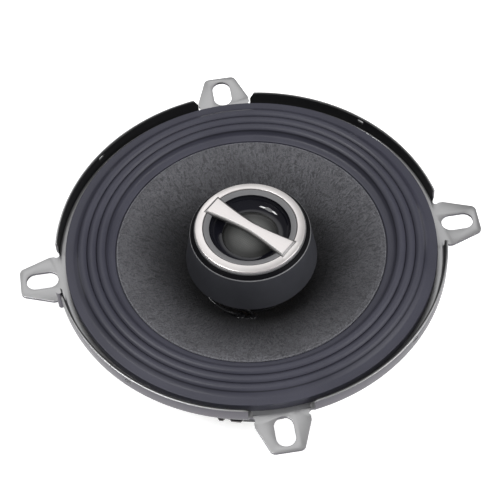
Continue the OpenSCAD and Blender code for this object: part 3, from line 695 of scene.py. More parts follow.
def coated_steel():
    """Grey metallic coat with an orange-peel skin: painted shade darkens the upright faces, and the black
    paint inside the rim also stands in for painted shade of the dark reflection there.
    """
    b = sizes("speaker_basket")
    base = finish_colour("coat")
    f = Finish("Coated steel", base, 0.34, 0.9)
    patched = f.grained(1500.0, 1.1, 0.25, 0.02, (0.3, 0.4))
    place = f.use(place_effect())
    # painted shade: upright faces turn to the darker side colour
    upright = f.ramp(place["Up"], 0.75, 0.25)
    side_shaded = f.shift(upright, finish_colour("side_coat"), patched)
    # black paint inside the rim, which also stands in for painted shade of the dark reflection there
    inside = f.math("MULTIPLY", f.ramp(place["Height"], (b.sheet + 0.2) * MM, (b.sheet + 0.5) * MM),
                    f.ramp(place["Reach"], (b.rim - 0.35) * MM, (b.rim - 0.55) * MM))
    f.shift(inside, (0.012, 0.012, 0.013), side_shaded)
    f.set("Metallic", f.ramp(inside, 0.0, 1.0, 0.9, 0.1))
    return f.material


def surround_rubber():
    """Moulded rubber: faintly blue, with a soft sheen, a fine grain and a little bloom."""
    base = finish_colour("rubber")
    c = sizes("speaker_cone")
    f = Finish("Surround rubber", base, 0.44, Specular_IOR_Level=0.45)
    dusted = f.dusted(1500.0, 0.12, 2.2, f.grained(3400.0, 1.14, 0.3, 0.02, (0.42, 0.52)))
    reach = f.use(place_effect())["Reach"]
    outer = (c.bead - c.bead_width - c.outer_slope) * MM
    phase = f.math("DIVIDE", f.math("SUBTRACT", outer, reach), c.roll_pitch * MM)
    # painted shade: the grooves between the rolls turn to half the rubber's colour
    line = f.ramp(f.math("PINGPONG", phase, 0.5), 0.07, 0.02)
    margin = 0.3
    rolls = f.math("MULTIPLY", f.math("LESS_THAN", reach, outer + margin * MM),
                   f.math("GREATER_THAN", reach, outer - (ROLLS * c.roll_pitch + margin) * MM))
    f.shift(f.math("MULTIPLY", line, rolls), scaled(base, 0.5), dusted)
    return f.material


def cone_pulp():
    """Pressed paper pulp: creased, fibrous and dull, with a painted highlight along the folds, painted shade
    towards the neck and a painted highlight on the outer rim.
    """
    base = finish_colour("pulp")
    f = Finish("Cone pulp", base, 0.55, Specular_IOR_Level=0.4)
    c = sizes("speaker_cone")
    wrinkles = f.use(wrinkle_effect(), Scale=1250.0)
    fibres = f.use(grain_effect(), Scale=2600.0)
    # painted highlight: the fold crests turn lighter
    folded = f.shift(wrinkles["Folds"], scaled(base, 2.3))
    patched = f.shift(f.math("MULTIPLY", fibres["Patches"], 0.35), scaled(base, 0.7), folded)
    reach = f.use(place_effect())["Reach"]
    # painted shade: the pulp darkens towards the neck, under the pod
    inward = f.ramp(reach, (c.edge - 4) * MM, (c.neck + 7) * MM)
    neck_shaded = f.shift(inward, scaled(base, 0.18), patched)
    # painted highlight: a speckled lighter line along the cone's outer rim
    rim = f.ramp(reach, (c.edge - 0.55) * MM, (c.edge - 0.3) * MM)
    rim_highlight = f.math("MULTIPLY", rim, f.ramp(fibres["Height"], 0.4, 0.6))
    f.shift(rim_highlight, scaled(base, 3.0), neck_shaded)
    f.set("Roughness", f.ramp(wrinkles["Folds"], 0.0, 1.0, 0.62, 0.46))
    under = f.bump(fibres["Height"], 0.4, 0.06)
    f.bump(wrinkles["Height"], 1.0, 2.6, under)
    return f.material


def textured_plastic(name, specular=0.5, tone=1.0):
    """Black moulding with a fine spark-eroded texture and a little dust."""
    f = Finish(name, scaled(finish_colour("plastic"), tone), 0.42, Specular_IOR_Level=specular)
    return f, f.dusted(1800.0, 0.1, 4.0, f.grained(3200.0, 1.25, 0.35, 0.03))


def black_plastic():
    """The moulded plastic of the post and the diaphragm's ring."""
    return textured_plastic("Black plastic")[0].material


def pod_plastic():
    """The pod's plastic: textured side, with painted shade that makes the shoulder near black and a painted
    highlight that makes a fine bright line on its edge.
    """
    p = sizes("speaker_pod")
    f, dusted = textured_plastic("Pod plastic", 0.08, 1.75)
    height = f.use(place_effect())["Height"]
    edge = p.shoulder_z
    shoulder = f.ramp(height, (edge + 0.06) * MM, (edge + 0.2) * MM)
    # painted highlight: a thin light band just below the edge, made part metallic
    below = f.ramp(height, (edge - 0.3) * MM, (edge - 0.16) * MM)
    line = f.math("MULTIPLY", below, f.math("SUBTRACT", 1.0, shoulder))
    # painted shade: the shoulder above the edge turns near black
    shoulder_shade = f.shift(shoulder, (0.003, 0.003, 0.004), dusted)
    f.shift(line, (0.3, 0.3, 0.31), shoulder_shade)
    f.set("Metallic", f.math("MULTIPLY", line, 0.6))
    f.set("Roughness", f.ramp(height, (edge - 0.3) * MM, (edge - 0.1) * MM, 0.42, 0.5))
    return f.material


def gloss_black():
    """Polished black plastic, with the faintest waviness from its mould."""
    f = Finish("Gloss black", finish_colour("gloss"), 0.07, Specular_IOR_Level=0.42, Coat_Weight=0.2,
               Coat_Roughness=0.03)
    f.grained(420.0, 1.4, 0.05, 0.02, (0.05, 0.11))
    return f.material


def grey_band():
    """Satin grey paint on plastic."""
    f = Finish("Grey band", finish_colour("band"), 0.4, 0.15)
    f.grained(3800.0, 1.1, 0.25, 0.015, (0.36, 0.44))
    return f.material


def turned_metal(name, base, roughness, metallic=1.0, depth=0.012, scale=5200.0):
    """Metal with fine circles about the speaker's axis."""
    f = Finish(name, base, roughness, metallic)
    marks = f.use(turning_effect(), Scale=scale)
    f.shift(marks["Patches"], scaled(base, 1.06))
    f.set("Roughness", f.ramp(marks["Height"], 0.35, 0.65, roughness * 0.8, roughness * 1.2))
    f.bump(marks["Height"], 0.3, depth)
    return f.material


def bar_metal():
    """Satin aluminium with hairlines along the bar."""
    base = finish_colour("trim")
    f = Finish("Bar aluminium", base, 0.34, 0.85)
    turned_back = (0.0, 0.0, -sizes("speaker_pod").bar_angle)
    along = f.add("ShaderNodeMapping", {"Vector": f.place, "Rotation": turned_back})
    lines = f.use(brushed_effect(), along, Scale=5200.0)["Height"]
    face = f.shift(f.ramp(lines, 0.4, 0.7), scaled(base, 1.06))
    # painted shade: faces that tilt away from level, the bevelled edges, turn dark grey
    f.shift(f.ramp(f.use(place_effect())["Up"], 0.97, 0.9), (0.24, 0.235, 0.235), face)
    f.set("Roughness", f.ramp(lines, 0.35, 0.65, 0.32, 0.44))
    f.bump(lines, 0.25, 0.012)
    return f.material


def woven(name, base, threads, roughness, depth, lift=1.9, steep_shade=0.35):
    """Woven cloth seen from the front: a painted highlight where a thread comes over, painted shade where it
    falls away, and painted shade where the cloth tilts away from level.
    """
    f = Finish(name, base, roughness, Sheen_Weight=0.15, Specular_IOR_Level=0.3)
    weave = f.use(weave_effect(), Threads=threads)
    patches = f.use(grain_effect(), Scale=9000.0)["Patches"]
    # painted highlight and shade: threads that come over are lighter
    lit = f.shift(weave["Threads"], scaled(base, lift))
    mottled = f.shift(f.math("MULTIPLY", patches, 0.4), scaled(base, 0.7), lit)
    # painted shade: faces that tilt away from level turn darker
    f.shift(f.ramp(f.use(place_effect())["Up"], 0.97, 0.84), scaled(base, steep_shade), mottled)
    f.bump(weave["Height"], 0.6, depth)
    return f.material


def ferrite_block():
    """Ground ferrite: dark, dull and chalky in patches, with fine pits."""
    f = Finish("Ferrite", finish_colour("ferrite"), 0.55, Specular_IOR_Level=0.5)
    f.dusted(500.0, 0.3, 3.0, f.grained(1700.0, 1.7, 0.5, 0.05, (0.45, 0.65)))
    return f.material


def plated(name, base, roughness=0.3, metallic=1.0):
    """Plated metal for small pieces."""
    f = Finish(name, base, roughness, metallic)
    f.grained(2400.0, 0.82, 0.2, 0.01, (roughness * 0.8, roughness * 1.3))
    return f.material


def plain_finish(name, base, roughness, depth=0.02, scale=2400.0):
    """Board, glue, paper and wire insulation: a body colour with grain in it."""
    f = Finish(name, base, roughness)
    f.grained(scale, 1.3, 0.4, depth, (roughness * 0.85, roughness * 1.15))
    return f.material


def braid():
    """Tinned copper braid: short bright strands that cross along the lead."""
    f = Finish("Tinsel braid", (0.55, 0.34, 0.2), 0.35, 0.9)
    length, turn, _ = f.split(f.add("ShaderNodeUVMap"))
    along = f.math("MULTIPLY", length, 190.0)
    around = f.math("MULTIPLY", turn, math.tau * 3)
    left = f.math("SINE", f.math("ADD", along, around))
    right = f.math("SINE", f.math("SUBTRACT", along, around))
    strands = f.ramp(f.math("MAXIMUM", left, right), -0.2, 1.0)
    f.shift(strands, (0.8, 0.62, 0.48))
    f.bump(strands, 0.6, 0.08)
    return f.material


def floor_paper():
    """Pale studio paper."""
    f = Finish("Pale floor", (0.9, 0.9, 0.9), 0.8, Specular_IOR_Level=0.1,
               Emission_Color=(1.0, 1.0, 1.0, 1.0), Emission_Strength=0.55)
    grain = f.use(grain_effect(), Scale=60.0)
    f.shift(grain["Patches"], (0.93, 0.93, 0.93))
    return f.material


MAKERS = {
    "coat": coated_steel,
    "rubber": surround_rubber,
    "pulp": cone_pulp,
    "plastic": black_plastic,
    "pod": pod_plastic,
    "gloss": gloss_black,
    "band": grey_band,
    "ring": lambda: turned_metal("Ring aluminium", finish_colour("trim"), 0.34, 0.85),
    "bar": bar_metal,
    "dome": lambda: woven("Dome cloth", finish_colour("cloth"), 2300.0, 0.6, 0.05),
    # painted shade: the dome's edge roll is the cloth darkened to 0.3, for the shade round the dome
    "dome_roll": lambda: plain_finish("Dome edge cloth", scaled(finish_colour("cloth"), 0.3), 0.5),
    "spider": lambda: woven("Spider cloth", finish_colour("resin_cloth"), 1900.0, 0.7, 0.08, 1.35, 0.8),
    "zinc_turned": lambda: turned_metal("Zinc plate, turned", finish_colour("zinc"), 0.32),
    "zinc": lambda: plated("Zinc plate", finish_colour("zinc")),
    "ferrite": ferrite_block,
    "copper": lambda: turned_metal("Copper winding", finish_colour("copper"), 0.3, 0.9, 0.06, 9000.0),
    "kraft": lambda: plain_finish("Kraft paper", (0.34, 0.2, 0.09), 0.7),
    "nickel": lambda: plated("Nickel plate", (0.6, 0.57, 0.5), 0.2),
    "tin": lambda: plated("Tin plate", (0.5, 0.49, 0.46), 0.32),
    # painted shade: the terminal blades' tin is darkened for the shade they sit in
    "shaded_tin": lambda: plated("Darkened tin plate", (0.13, 0.125, 0.125), 0.3),
    "board": lambda: plain_finish("Fibre board", (0.016, 0.013, 0.011), 0.6, 0.04, 1300.0),
    "insulation": lambda: plain_finish("Wire insulation", (0.012, 0.012, 0.013), 0.16),
    "glue": lambda: plain_finish("Black adhesive", (0.007, 0.007, 0.008), 0.22, 0.04, 700.0),
    "sleeve": lambda: plain_finish("Capacitor sleeve", (0.012, 0.05, 0.19), 0.25, 0.02, 900.0),
    "braid": braid,
}


def material(key):
    """The material of that name, made the first time it is asked for."""
    made = bpy.context.scene.get("speaker_material_" + key)
    if made and made in bpy.data.materials:
        return bpy.data.materials[made]
    new = MAKERS[key]()
    bpy.context.scene["speaker_material_" + key] = new.name
    return new


# ---------------------------------------------------------------------------------------------------
# Operators, one for each piece or group of like pieces
# ---------------------------------------------------------------------------------------------------

class SpeakerOperator:
    """What all of the add-on's operators share."""
    bl_options = {"REGISTER", "UNDO"}


def basket_shell(b):
    """The turned shape of the basket: rim, flange, side, ledge, neck and seat."""
    ledge_in = b.ledge - b.ledge_width
    side_run = (b.flange_in - b.ledge) / (b.sheet - b.ledge_z)
    side_wall = b.sheet * math.hypot(1, side_run)
    seat_top = b.seat_z + b.sheet
    outer_flange = b.flange_in - side_run * b.sheet + side_wall
    outer_ledge = b.ledge - side_run * b.sheet + side_wall
    return rounded([
        (b.rim - b.sheet, b.rim_top, 0.3), (b.rim, b.rim_top, 0.35), (b.rim, 0, b.rim_bend),
        (outer_flange, 0, 1.6), (outer_ledge, b.ledge_z - b.sheet, 1.0),
        (ledge_in + b.sheet, b.ledge_z - b.sheet, 1.0), (ledge_in, b.seat_z, 0.4),
        (b.seat_hole, b.seat_z, 0.1), (b.seat_hole, seat_top, 0.2), (ledge_in - b.sheet, seat_top, 1.0),
        (ledge_in, b.ledge_z, 1.0), (b.ledge, b.ledge_z, 1.4), (b.flange_in, b.sheet, 1.4),
        (b.rim - b.sheet, b.sheet, b.rim_bend - b.sheet)], 5), side_run


def quarter_turns():
    """The directions of the four ears."""
    return [math.radians(90 * k) for k in range(4)]


class SPEAKER_OT_basket(SpeakerOperator, bpy.types.Operator):
    """Presses the steel basket with its rim, ears, slots and side windows"""
    bl_idname = "speaker.basket"
    bl_label = "Basket"

    def execute(self, context):
        b = sizes("speaker_basket")
        turn = sizes("speaker_terminals").angle
        outline, side_run = basket_shell(b)
        basket = lathe("steel_basket", outline, 256)
        self.open_rim(basket, b)
        self.add_ears(basket, b)
        self.cut_holes(basket, b, turn, side_run)
        self.add_terminal_lug(basket, b.sheet, turn)
        smooth(basket, 32)
        finish_piece(basket, "basket", FRAME_BODY, material("coat"))
        return {"FINISHED"}

    def open_rim(self, basket, b):
        """Leaves the rim out at the four ears, with rounded upper corners."""
        above = b.rim_top + 1
        gap, corner = b.rim_gap, b.rim_corner
        right = arc(gap + corner, b.rim_top - corner, corner, 180, 90, 8) + [(gap + corner, above)]
        outline = [*right, *[(-y, z) for y, z in reversed(right)], (-gap, -1), (gap, -1)]
        inner = b.rim - b.rim_bend - 0.15
        combine(basket, [plate("rim_gap", outline, inner, b.rim + 2, a, "X") for a in quarter_turns()])

    def add_ears(self, basket, b):
        """Welds on four tapered ears, each with a radial screw slot and softened edges."""
        root, tip = b.ear_root_width / 2, b.ear_tip_width / 2
        relief = 0.35
        outline = rounded([
            (b.rim - 6, -root - relief), (b.rim - 0.8, -root - relief), (b.rim - 0.2, -root),
            (b.rim + 1.8, -root, 1.2), (b.ear_tip, -tip, b.ear_corner), (b.ear_tip, tip, b.ear_corner),
            (b.rim + 1.8, root, 1.2), (b.rim - 0.2, root), (b.rim - 0.8, root + relief),
            (b.rim - 6, root + relief)], 6)
        ears = []
        for a in quarter_turns():
            ear = plate("ear", outline, 0, b.sheet, a)
            slot = plate("slot", stadium(b.slot_circle, 0, b.slot_length, b.slot_width), -1, 2, a)
            combine(ear, [slot])
            ears.append(bevel(ear, 0.16, 2, 50))
        combine(basket, ears, "UNION")

    def cut_holes(self, basket, b, turn, side_run):
        """Cuts the relief notches, the grille clip holes, the windows and the terminals' slot."""
        cutters = []
        clip_hole = rounded_box(1.2, 4.2, 5.6, 0.25)
        for a in quarter_turns():
            for side in (-1, 1):
                notch = arc(b.rim - 0.6, side * (b.rim_gap + 0.4), 1.1, 0, 345, 23)
                cutters.append(plate("notch", notch, -1, b.rim_top + 1, a))
            cutters.append(plate("clip_hole", clip_hole, b.rim - 3, b.rim + 1, a + math.radians(45), "X"))
        half = math.sin(b.window_angle / 2)
        wide = (b.flange_in - side_run * (b.sheet - b.window_top)) * half
        narrow = (b.flange_in - side_run * (b.sheet - b.window_bottom)) * half
        window = rounded([
            (-narrow, b.window_bottom, b.window_corner), (narrow, b.window_bottom, b.window_corner),
            (wide, b.window_top, b.window_corner), (-wide, b.window_top, b.window_corner)], 6)
        for k in range(6):
            cutters.append(plate("window", window, 30, b.rim, turn + math.radians(30 + 60 * k), "X"))
        board_slot = rounded_box(6.3, BOARD_BOTTOM, -12.2, 0.4)
        cutters.append(plate("terminal_slot", board_slot, 40, 60, turn, "X"))
        combine(basket, cutters)

    def add_terminal_lug(self, basket, sheet, turn):
        """Adds the lug under the terminal board."""
        root, tip, half = 45.9, 54.7, 6.2
        lug = rounded([(root, -half), (tip, -half, 1.0), (tip, half, 1.0), (root, half)], 5)
        lug = bevel(plate("lug", lug, BOARD_BOTTOM - sheet, BOARD_BOTTOM, turn), 0.14, 2, 50)
        combine(basket, [lug], "UNION")


class SPEAKER_OT_surround(SpeakerOperator, bpy.types.Operator):
    """Moulds the rolled rubber surround and its bead"""
    bl_idname = "speaker.surround"
    bl_label = "Surround"

    def execute(self, context):
        c = sizes("speaker_cone")
        groove_out = c.bead - c.bead_width - c.outer_slope
        groove_in = groove_out - ROLLS * c.roll_pitch
        slope_in = groove_in - c.inner_slope
        lip_z = c.edge_z - c.lip_thickness

        def height(r):
            across = abs(math.sin(math.pi * (groove_out - r) / c.roll_pitch))
            return c.groove_z + c.roll_height * across ** 0.75
        steps = [0, 0.02, 0.05, 0.1, 0.17, 0.26, 0.37, 0.5, 0.63, 0.74, 0.83, 0.9, 0.95, 0.98]
        rolls = [groove_out - (k + step) * c.roll_pitch for k in range(ROLLS) for step in steps]
        rolls.append(groove_in)
        land = [(groove_in - 0.35, lip_z + 2.0), (groove_in - 0.6, lip_z + 1.4),
                (groove_in - 0.95, lip_z + 1.1), (slope_in + 1.2, lip_z + 0.9),
                (slope_in + 0.4, lip_z + 0.75), (slope_in + 0.15, lip_z + 0.6)]
        lip_in = c.edge - c.lip + 0.2
        top = arc(c.bead - 0.35, c.bead_top - 0.35, 0.35, 0, 90, 4)
        bead_in = c.bead - c.bead_width
        top += [(bead_in + 0.2, c.bead_top), (bead_in - 0.15, c.bead_top + 0.12)]
        top += [(r, height(r)) for r in rolls] + land
        top += [(slope_in, lip_z), (lip_in, lip_z), (lip_in, lip_z - c.rubber),
                (slope_in + 0.5, lip_z - c.rubber), (slope_in + 1.2, lip_z + 0.1),
                (groove_in - 0.6, lip_z + 0.4)]
        top += [(r, height(r) - c.rubber) for r in reversed(rolls)]
        foot = bead_in - 0.4
        outline = [(c.bead, 1.0), *top, (foot, 2.2), (foot, 1.0)]
        surround = lathe("rubber_surround", outline, 288)
        finish_piece(surround, "surround", None, material("rubber"))
        blend_by_radius(surround)
        return {"FINISHED"}


class SPEAKER_OT_cone(SpeakerOperator, bpy.types.Operator):
    """Presses the pulp cone, creases it and lays the adhesive round its neck"""
    bl_idname = "speaker.cone"
    bl_label = "Cone"

    def execute(self, context):
        c = sizes("speaker_cone")
        lip_in = c.edge - c.lip
        face_out = lip_in - 0.3
        steps = 74
        face = [(c.neck + (face_out - c.neck) * k / steps, c.neck_z + (c.edge_z - c.neck_z) * k / steps)
                for k in range(steps)]
        edge = rounded([(face_out, c.edge_z, 0.5), (c.edge, c.edge_z, 0.22),
                        (c.edge, c.edge_z - c.lip_thickness, 0.1), (lip_in, c.edge_z - c.lip_thickness, 0.1),
                        (c.neck, c.neck_z - c.wall)], 4)
        cone = lathe("pulp_cone", face + edge, 420)
        self.crease(cone, c)
        finish_piece(cone, "cone", CONE_BODY, material("pulp"))
        bead = rounded([(c.neck + 0.02, c.neck_z - 0.1), (c.neck + 1.7, c.neck_z + 0.85, 0.2),
                        (c.neck + 0.9, c.neck_z + 1.05, 0.6), (c.neck + 0.02, c.neck_z + 0.75, 0.2)], 5)
        glue = lathe("neck_adhesive", bead, 128)
        glue.data.materials.append(material("glue"))
        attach(glue, CONE_BODY)
        return {"FINISHED"}

    def crease(self, cone, c):
        """Moves the face a little in and out, so that the creases are in the mesh too."""
        group = cone.vertex_groups.new(name="face")
        edge = (c.edge - c.lip - 0.4) * MM
        neck = (c.neck + 1.0) * MM
        face = [v.index for v in cone.data.vertices if neck < math.hypot(v.co.x, v.co.y) < edge]
        group.add(face, 1.0, "REPLACE")
        for index, (scale, share) in enumerate(((0.0011, 1.0), (0.0042, 0.8))):
            texture = bpy.data.textures.new(f"pulp creases {index}", "CLOUDS")
            texture.noise_scale = scale
            texture.noise_depth = 2
            modify(cone, "DISPLACE", texture=texture, strength=c.wrinkle * share * MM, mid_level=0.5,
                   texture_coords="LOCAL", vertex_group="face")
        cone.vertex_groups.clear()
        smooth(cone, 60)


class SPEAKER_OT_spider(SpeakerOperator, bpy.types.Operator):
    """Forms the corrugated spider between the voice coil and the basket"""
    bl_idname = "speaker.spider"
    bl_label = "Spider"

    def execute(self, context):
        c = sizes("speaker_cone")
        outer, inner = radius_of("spider"), 13.3
        wave_in, wave_out = inner + 2.5, outer - 3.4
        thickness, waves, steps = 0.5, 5, 70
        middle_z = (bottom_of("spider") + top_of("spider")) / 2

        def height(r):
            share = min(1.0, max(0.0, (r - wave_in) / (wave_out - wave_in)))
            return middle_z - c.spider_wave * math.cos(math.tau * waves * share)
        path = [inner, *[wave_in + (wave_out - wave_in) * k / steps for k in range(steps + 1)], outer]
        upper = [(r, height(r) + thickness / 2) for r in path]
        lower = [(r, height(r) - thickness / 2) for r in reversed(path)]
        spider = lathe("cloth_spider", upper + lower, 192)
        finish_piece(spider, "spider", None, material("spider"))
        blend_by_radius(spider)
        return {"FINISHED"}


class SPEAKER_OT_voice_coil(SpeakerOperator, bpy.types.Operator):
    """Winds the voice coil on its paper former"""
    bl_idname = "speaker.voice_coil"
    bl_label = "Voice coil"

    def execute(self, context):
        for node, wall, key in (("voice_coil_former", 0.3, "kraft"), ("voice_coil_winding", 0.45, "copper")):
            outer, low, high = radius_of(node), bottom_of(node), top_of(node)
            outline = rounded([(outer - wall, low, 0.06), (outer, low, 0.12), (outer, high, 0.12),
                               (outer - wall, high, 0.06)], 2)
            piece = lathe(node + "_turned", outline, 128)
            finish_piece(piece, node, CONE_BODY, material(key))
        return {"FINISHED"}


class SPEAKER_OT_motor(SpeakerOperator, bpy.types.Operator):
    """Turns the front plate, the magnet and the yoke, and fits the rivets and the rear screw"""
    bl_idname = "speaker.motor"
    bl_label = "Motor"

    def execute(self, context):
        plate_z, magnet_z, back_z = (bottom_of(n) for n in ("front_plate", "magnet", "yoke"))
        plate_r, magnet_r, back_r = (radius_of(n) for n in ("front_plate", "magnet", "yoke"))
        plate_top, pole_top = top_of("front_plate"), top_of("yoke")
        pole, gap_out = 12.25, 14.35
        magnet_in = gap_out + 5.8
        bore, head_bore, head_z = 2.3, 4.2, back_z + 3.5      # for the screw that holds the post
        pieces = {
            "front_plate": (rounded([
                (gap_out, plate_z, 0.2), (plate_r, plate_z, 0.45), (plate_r, plate_top, 0.45),
                (gap_out, plate_top, 0.2)]), "zinc_turned"),
            "magnet": (rounded([
                (magnet_in, magnet_z, 0.4), (magnet_r, magnet_z, 1.0), (magnet_r, plate_z, 1.0),
                (magnet_in, plate_z, 0.4)], 3), "ferrite"),
            "yoke": (rounded([
                (bore, head_z), (head_bore, head_z), (head_bore, back_z, 0.35), (30.0, back_z, 0.5),
                (30.4, back_z + 0.25, 0.15), (30.8, back_z, 0.15), (back_r, back_z, 0.9),
                (back_r, magnet_z, 0.5), (pole, magnet_z, 0.3), (pole, pole_top, 0.5),
                (bore, pole_top)]), "zinc_turned"),
        }
        for node, (outline, key) in pieces.items():
            finish_piece(lathe(node + "_turned", outline), node, FRAME_BODY, material(key))
        for node in ("front_plate_rivets", "post_screw"):
            finish_piece(finished_copy(node, 0.12), node, FRAME_BODY, material("zinc"))
        return {"FINISHED"}


class SPEAKER_OT_pod(SpeakerOperator, bpy.types.Operator):
    """Moulds the tweeter's post and its tapered pod"""
    bl_idname = "speaker.pod"
    bl_label = "Pod and post"

    def execute(self, context):
        p = sizes("speaker_pod")
        floor, rim = bottom_of("pod_housing"), top_of("pod_housing")
        floor_top = floor + 2.0
        boss_out, boss_in, boss_top = 13.7, 12.6, 1.5         # the low wall that the tweeter's pot sits in
        outline = rounded([
            (0.0, floor), (p.base, floor, 0.7), (p.shoulder, p.shoulder_z, 0.28), (p.bore + 0.1, rim, 0.06),
            (p.bore, rim, 0.05), (p.bore, 6.6), (p.bore + 1.2, 5.4), (p.bore + 1.6, floor_top, 0.6),
            (boss_out, floor_top), (boss_out, boss_top, 0.2), (boss_in, boss_top, 0.2),
            (boss_in, floor_top), (0.0, floor_top)], 5)
        pod = lathe("tweeter_pod", outline, 224)
        finish_piece(pod, "pod_housing", FRAME_BODY, material("pod"))
        low, high = bottom_of("tweeter_post"), top_of("tweeter_post")
        stem, head, screw_hole = 8.0, radius_of("tweeter_post"), 2.05
        flange = high - 2.0
        post = lathe("turned_post", rounded([
            (screw_hole, low), (stem, low, 0.3), (stem, flange, 1.2), (head, flange, 0.4),
            (head, high, 0.2), (0.0, high), (0.0, flange - 5), (screw_hole, flange - 5)]), 128)
        finish_piece(post, "tweeter_post", FRAME_BODY, material("plastic"))
        finish_piece(finished_copy("pod_screws", 0.05), "pod_screws", FRAME_BODY, material("zinc"))
        return {"FINISHED"}


def bar_half(x, p, inset):
    """Half of the bar's width at a distance from its middle."""
    share = abs(x) / (p.bar_length / 2)
    return p.bar_waist / 2 - inset + (p.bar_end - p.bar_waist) / 2 * share ** 1.5


def bar_outline(p, inset=0.0, length=None):
    """The bar from the front: widest at its ends and drawn in at its waist."""
    half = (length or p.bar_length) / 2
    stations = [half * k / 14 for k in range(-14, 15)]
    lower = [(x, -bar_half(x, p, inset)) for x in stations]
    return lower + [(x, -y) for x, y in reversed(lower)]


class SPEAKER_OT_trim(SpeakerOperator, bpy.types.Operator):
    """Makes the gloss bowl, the grey band, the bright ring and the bar across the tweeter"""
    bl_idname = "speaker.trim"
    bl_label = "Tweeter trim"

    def execute(self, context):
        p = sizes("speaker_pod")
        seat = p.seat_z
        insert = p.bore - 0.1
        bowl_top = seat + 0.25
        groove = seat - 0.8                                   # floor of the groove that takes the band
        lip = p.bowl + 0.6
        bowl = [(p.throat + (p.bowl - p.throat) * math.sin(a),
                 bowl_top - (bowl_top - p.throat_z) * math.cos(a))
                for a in (math.radians(90 * k / 24) for k in range(25))]
        waveguide = lathe("gloss_bowl", bowl + rounded([
            (lip, bowl_top, 0.1), (lip, groove), (insert, groove, 0.1), (insert, 6.8, 0.2),
            (insert - 1.2, 6.8, 0.2), (insert - 1.2, seat - 2.0), (insert - 3.4, seat - 2.0),
            (insert - 3.4, 8.8), (insert - 4.8, 8.8), (p.throat + 3, p.throat_z - 0.5),
            (p.throat + 0.1, p.throat_z - 0.5, 0.2)]), 224)
        band = lathe("grey_band_ring", rounded([
            (p.bowl + 0.05, bowl_top), (p.bowl + 0.05, seat + 0.45, 0.12), (p.band, seat + 0.95, 0.2),
            (p.band, seat), (insert, seat, 0.1), (insert, groove), (lip + 0.05, groove),
            (lip + 0.05, bowl_top)]), 224)
        ring_out = radius_of("trim_ring")
        ring = lathe("bright_ring", rounded([
            (p.ring_in, seat), (p.ring_in, top_of("trim_ring"), 0.22), (ring_out - 0.12, seat + 0.62, 0.3),
            (ring_out, seat + 0.2, 0.1), (ring_out, seat)]), 256)
        room = 0.06
        notch_outline = bar_outline(p, -room, p.bar_length + 2 * room)
        for piece, node, key in ((waveguide, "waveguide", "gloss"), (band, "bezel", "band"),
                                 (ring, "trim_ring", "ring")):
            notch = plate("bar_notch", notch_outline, seat - 0.001, seat + 3, p.bar_angle)
            combine(piece, [notch])
            if node == "trim_ring":
                bevel(piece, 0.08, 2, 55)
            smooth(piece)
            finish_piece(piece, node, FRAME_BODY, material(key))
        self.bar(p)
        return {"FINISHED"}

    def bar(self, p):
        """Raises the bar, then insets its face for the bevelled edge."""
        side = 0.9
        bar = plate("bow_tie_bar", bar_outline(p), p.seat_z, p.seat_z + side, p.bar_angle)
        pick(bar)
        bpy.ops.object.mode_set(mode="EDIT")
        bpy.ops.mesh.select_mode(type="FACE")
        bpy.ops.mesh.select_all(action="DESELECT")
        mesh = bmesh.from_edit_mesh(bar.data)
        for face in mesh.faces:
            face.select = face.normal.z > 0.9
        bmesh.update_edit_mesh(bar.data)
        bpy.ops.mesh.inset(thickness=p.bar_bevel * MM, depth=(top_of("diffuser_bar") - p.seat_z - side) * MM)
        bpy.ops.object.mode_set(mode="OBJECT")
        bevel(bar, 0.09, 2, 25)
        smooth(bar, 30)
        finish_piece(bar, "diffuser_bar", FRAME_BODY, material("bar"))


class SPEAKER_OT_tweeter(SpeakerOperator, bpy.types.Operator):
    """Forms the cloth dome with its half-roll edge, and finishes the small motor behind it"""
    bl_idname = "speaker.tweeter"
    bl_label = "Tweeter"

    def execute(self, context):
        dome_r = radius_of("tweeter_dome")
        base, crown = bottom_of("tweeter_dome"), top_of("tweeter_dome")
        rise = crown - base
        ball = (dome_r ** 2 + rise ** 2) / (2 * rise)
        wall = 0.25
        sweep = math.degrees(math.asin(dome_r / ball))
        outside = arc(0, crown - ball, ball, 90 - sweep, 90, 22)
        inside = arc(0, crown - ball, ball - wall, 90, 90 - sweep + 0.3, 22)
        outside[-1], inside[0] = (0.0, outside[-1][1]), (0.0, inside[0][1])
        dome = lathe("cloth_dome", outside + inside, 144)
        finish_piece(dome, "tweeter_dome", DOME_BODY, material("dome"))
        roll, inner = 0.8, dome_r + 0.05
        middle = dome_r + 0.25 + roll
        ring_top = bottom_of("dome_edge")
        edge = lathe("dome_roll", [
            (inner, base + 0.05), *arc(middle, base, roll, 170, 0, 12), (middle + roll + 2.3, base),
            (middle + roll + 2.3, ring_top), (middle + roll, ring_top),
            *arc(middle, base - 0.2, roll, 0, 170, 12), (inner, base - 0.15)], 144)
        finish_piece(edge, "dome_edge", None, material("dome_roll"))
        blend_by_radius(edge)
        coil_r = radius_of("tweeter_coil")
        coil = lathe("tweeter_winding", rounded([
            (coil_r - 0.3, bottom_of("tweeter_coil"), 0.05), (coil_r, bottom_of("tweeter_coil"), 0.05),
            (coil_r, top_of("tweeter_coil")), (coil_r - 0.3, top_of("tweeter_coil"))], 2), 96)
        finish_piece(coil, "tweeter_coil", DOME_BODY, material("copper"))
        for node, key, rounding in (("tweeter_pot", "zinc", 0.3), ("tweeter_magnet", "nickel", 0.3),
                                    ("tweeter_pole_disc", "zinc", 0.15), ("diaphragm_ring", "plastic", 0.15)):
            finish_piece(finished_copy(node, rounding), node, FRAME_BODY, material(key))
        return {"FINISHED"}


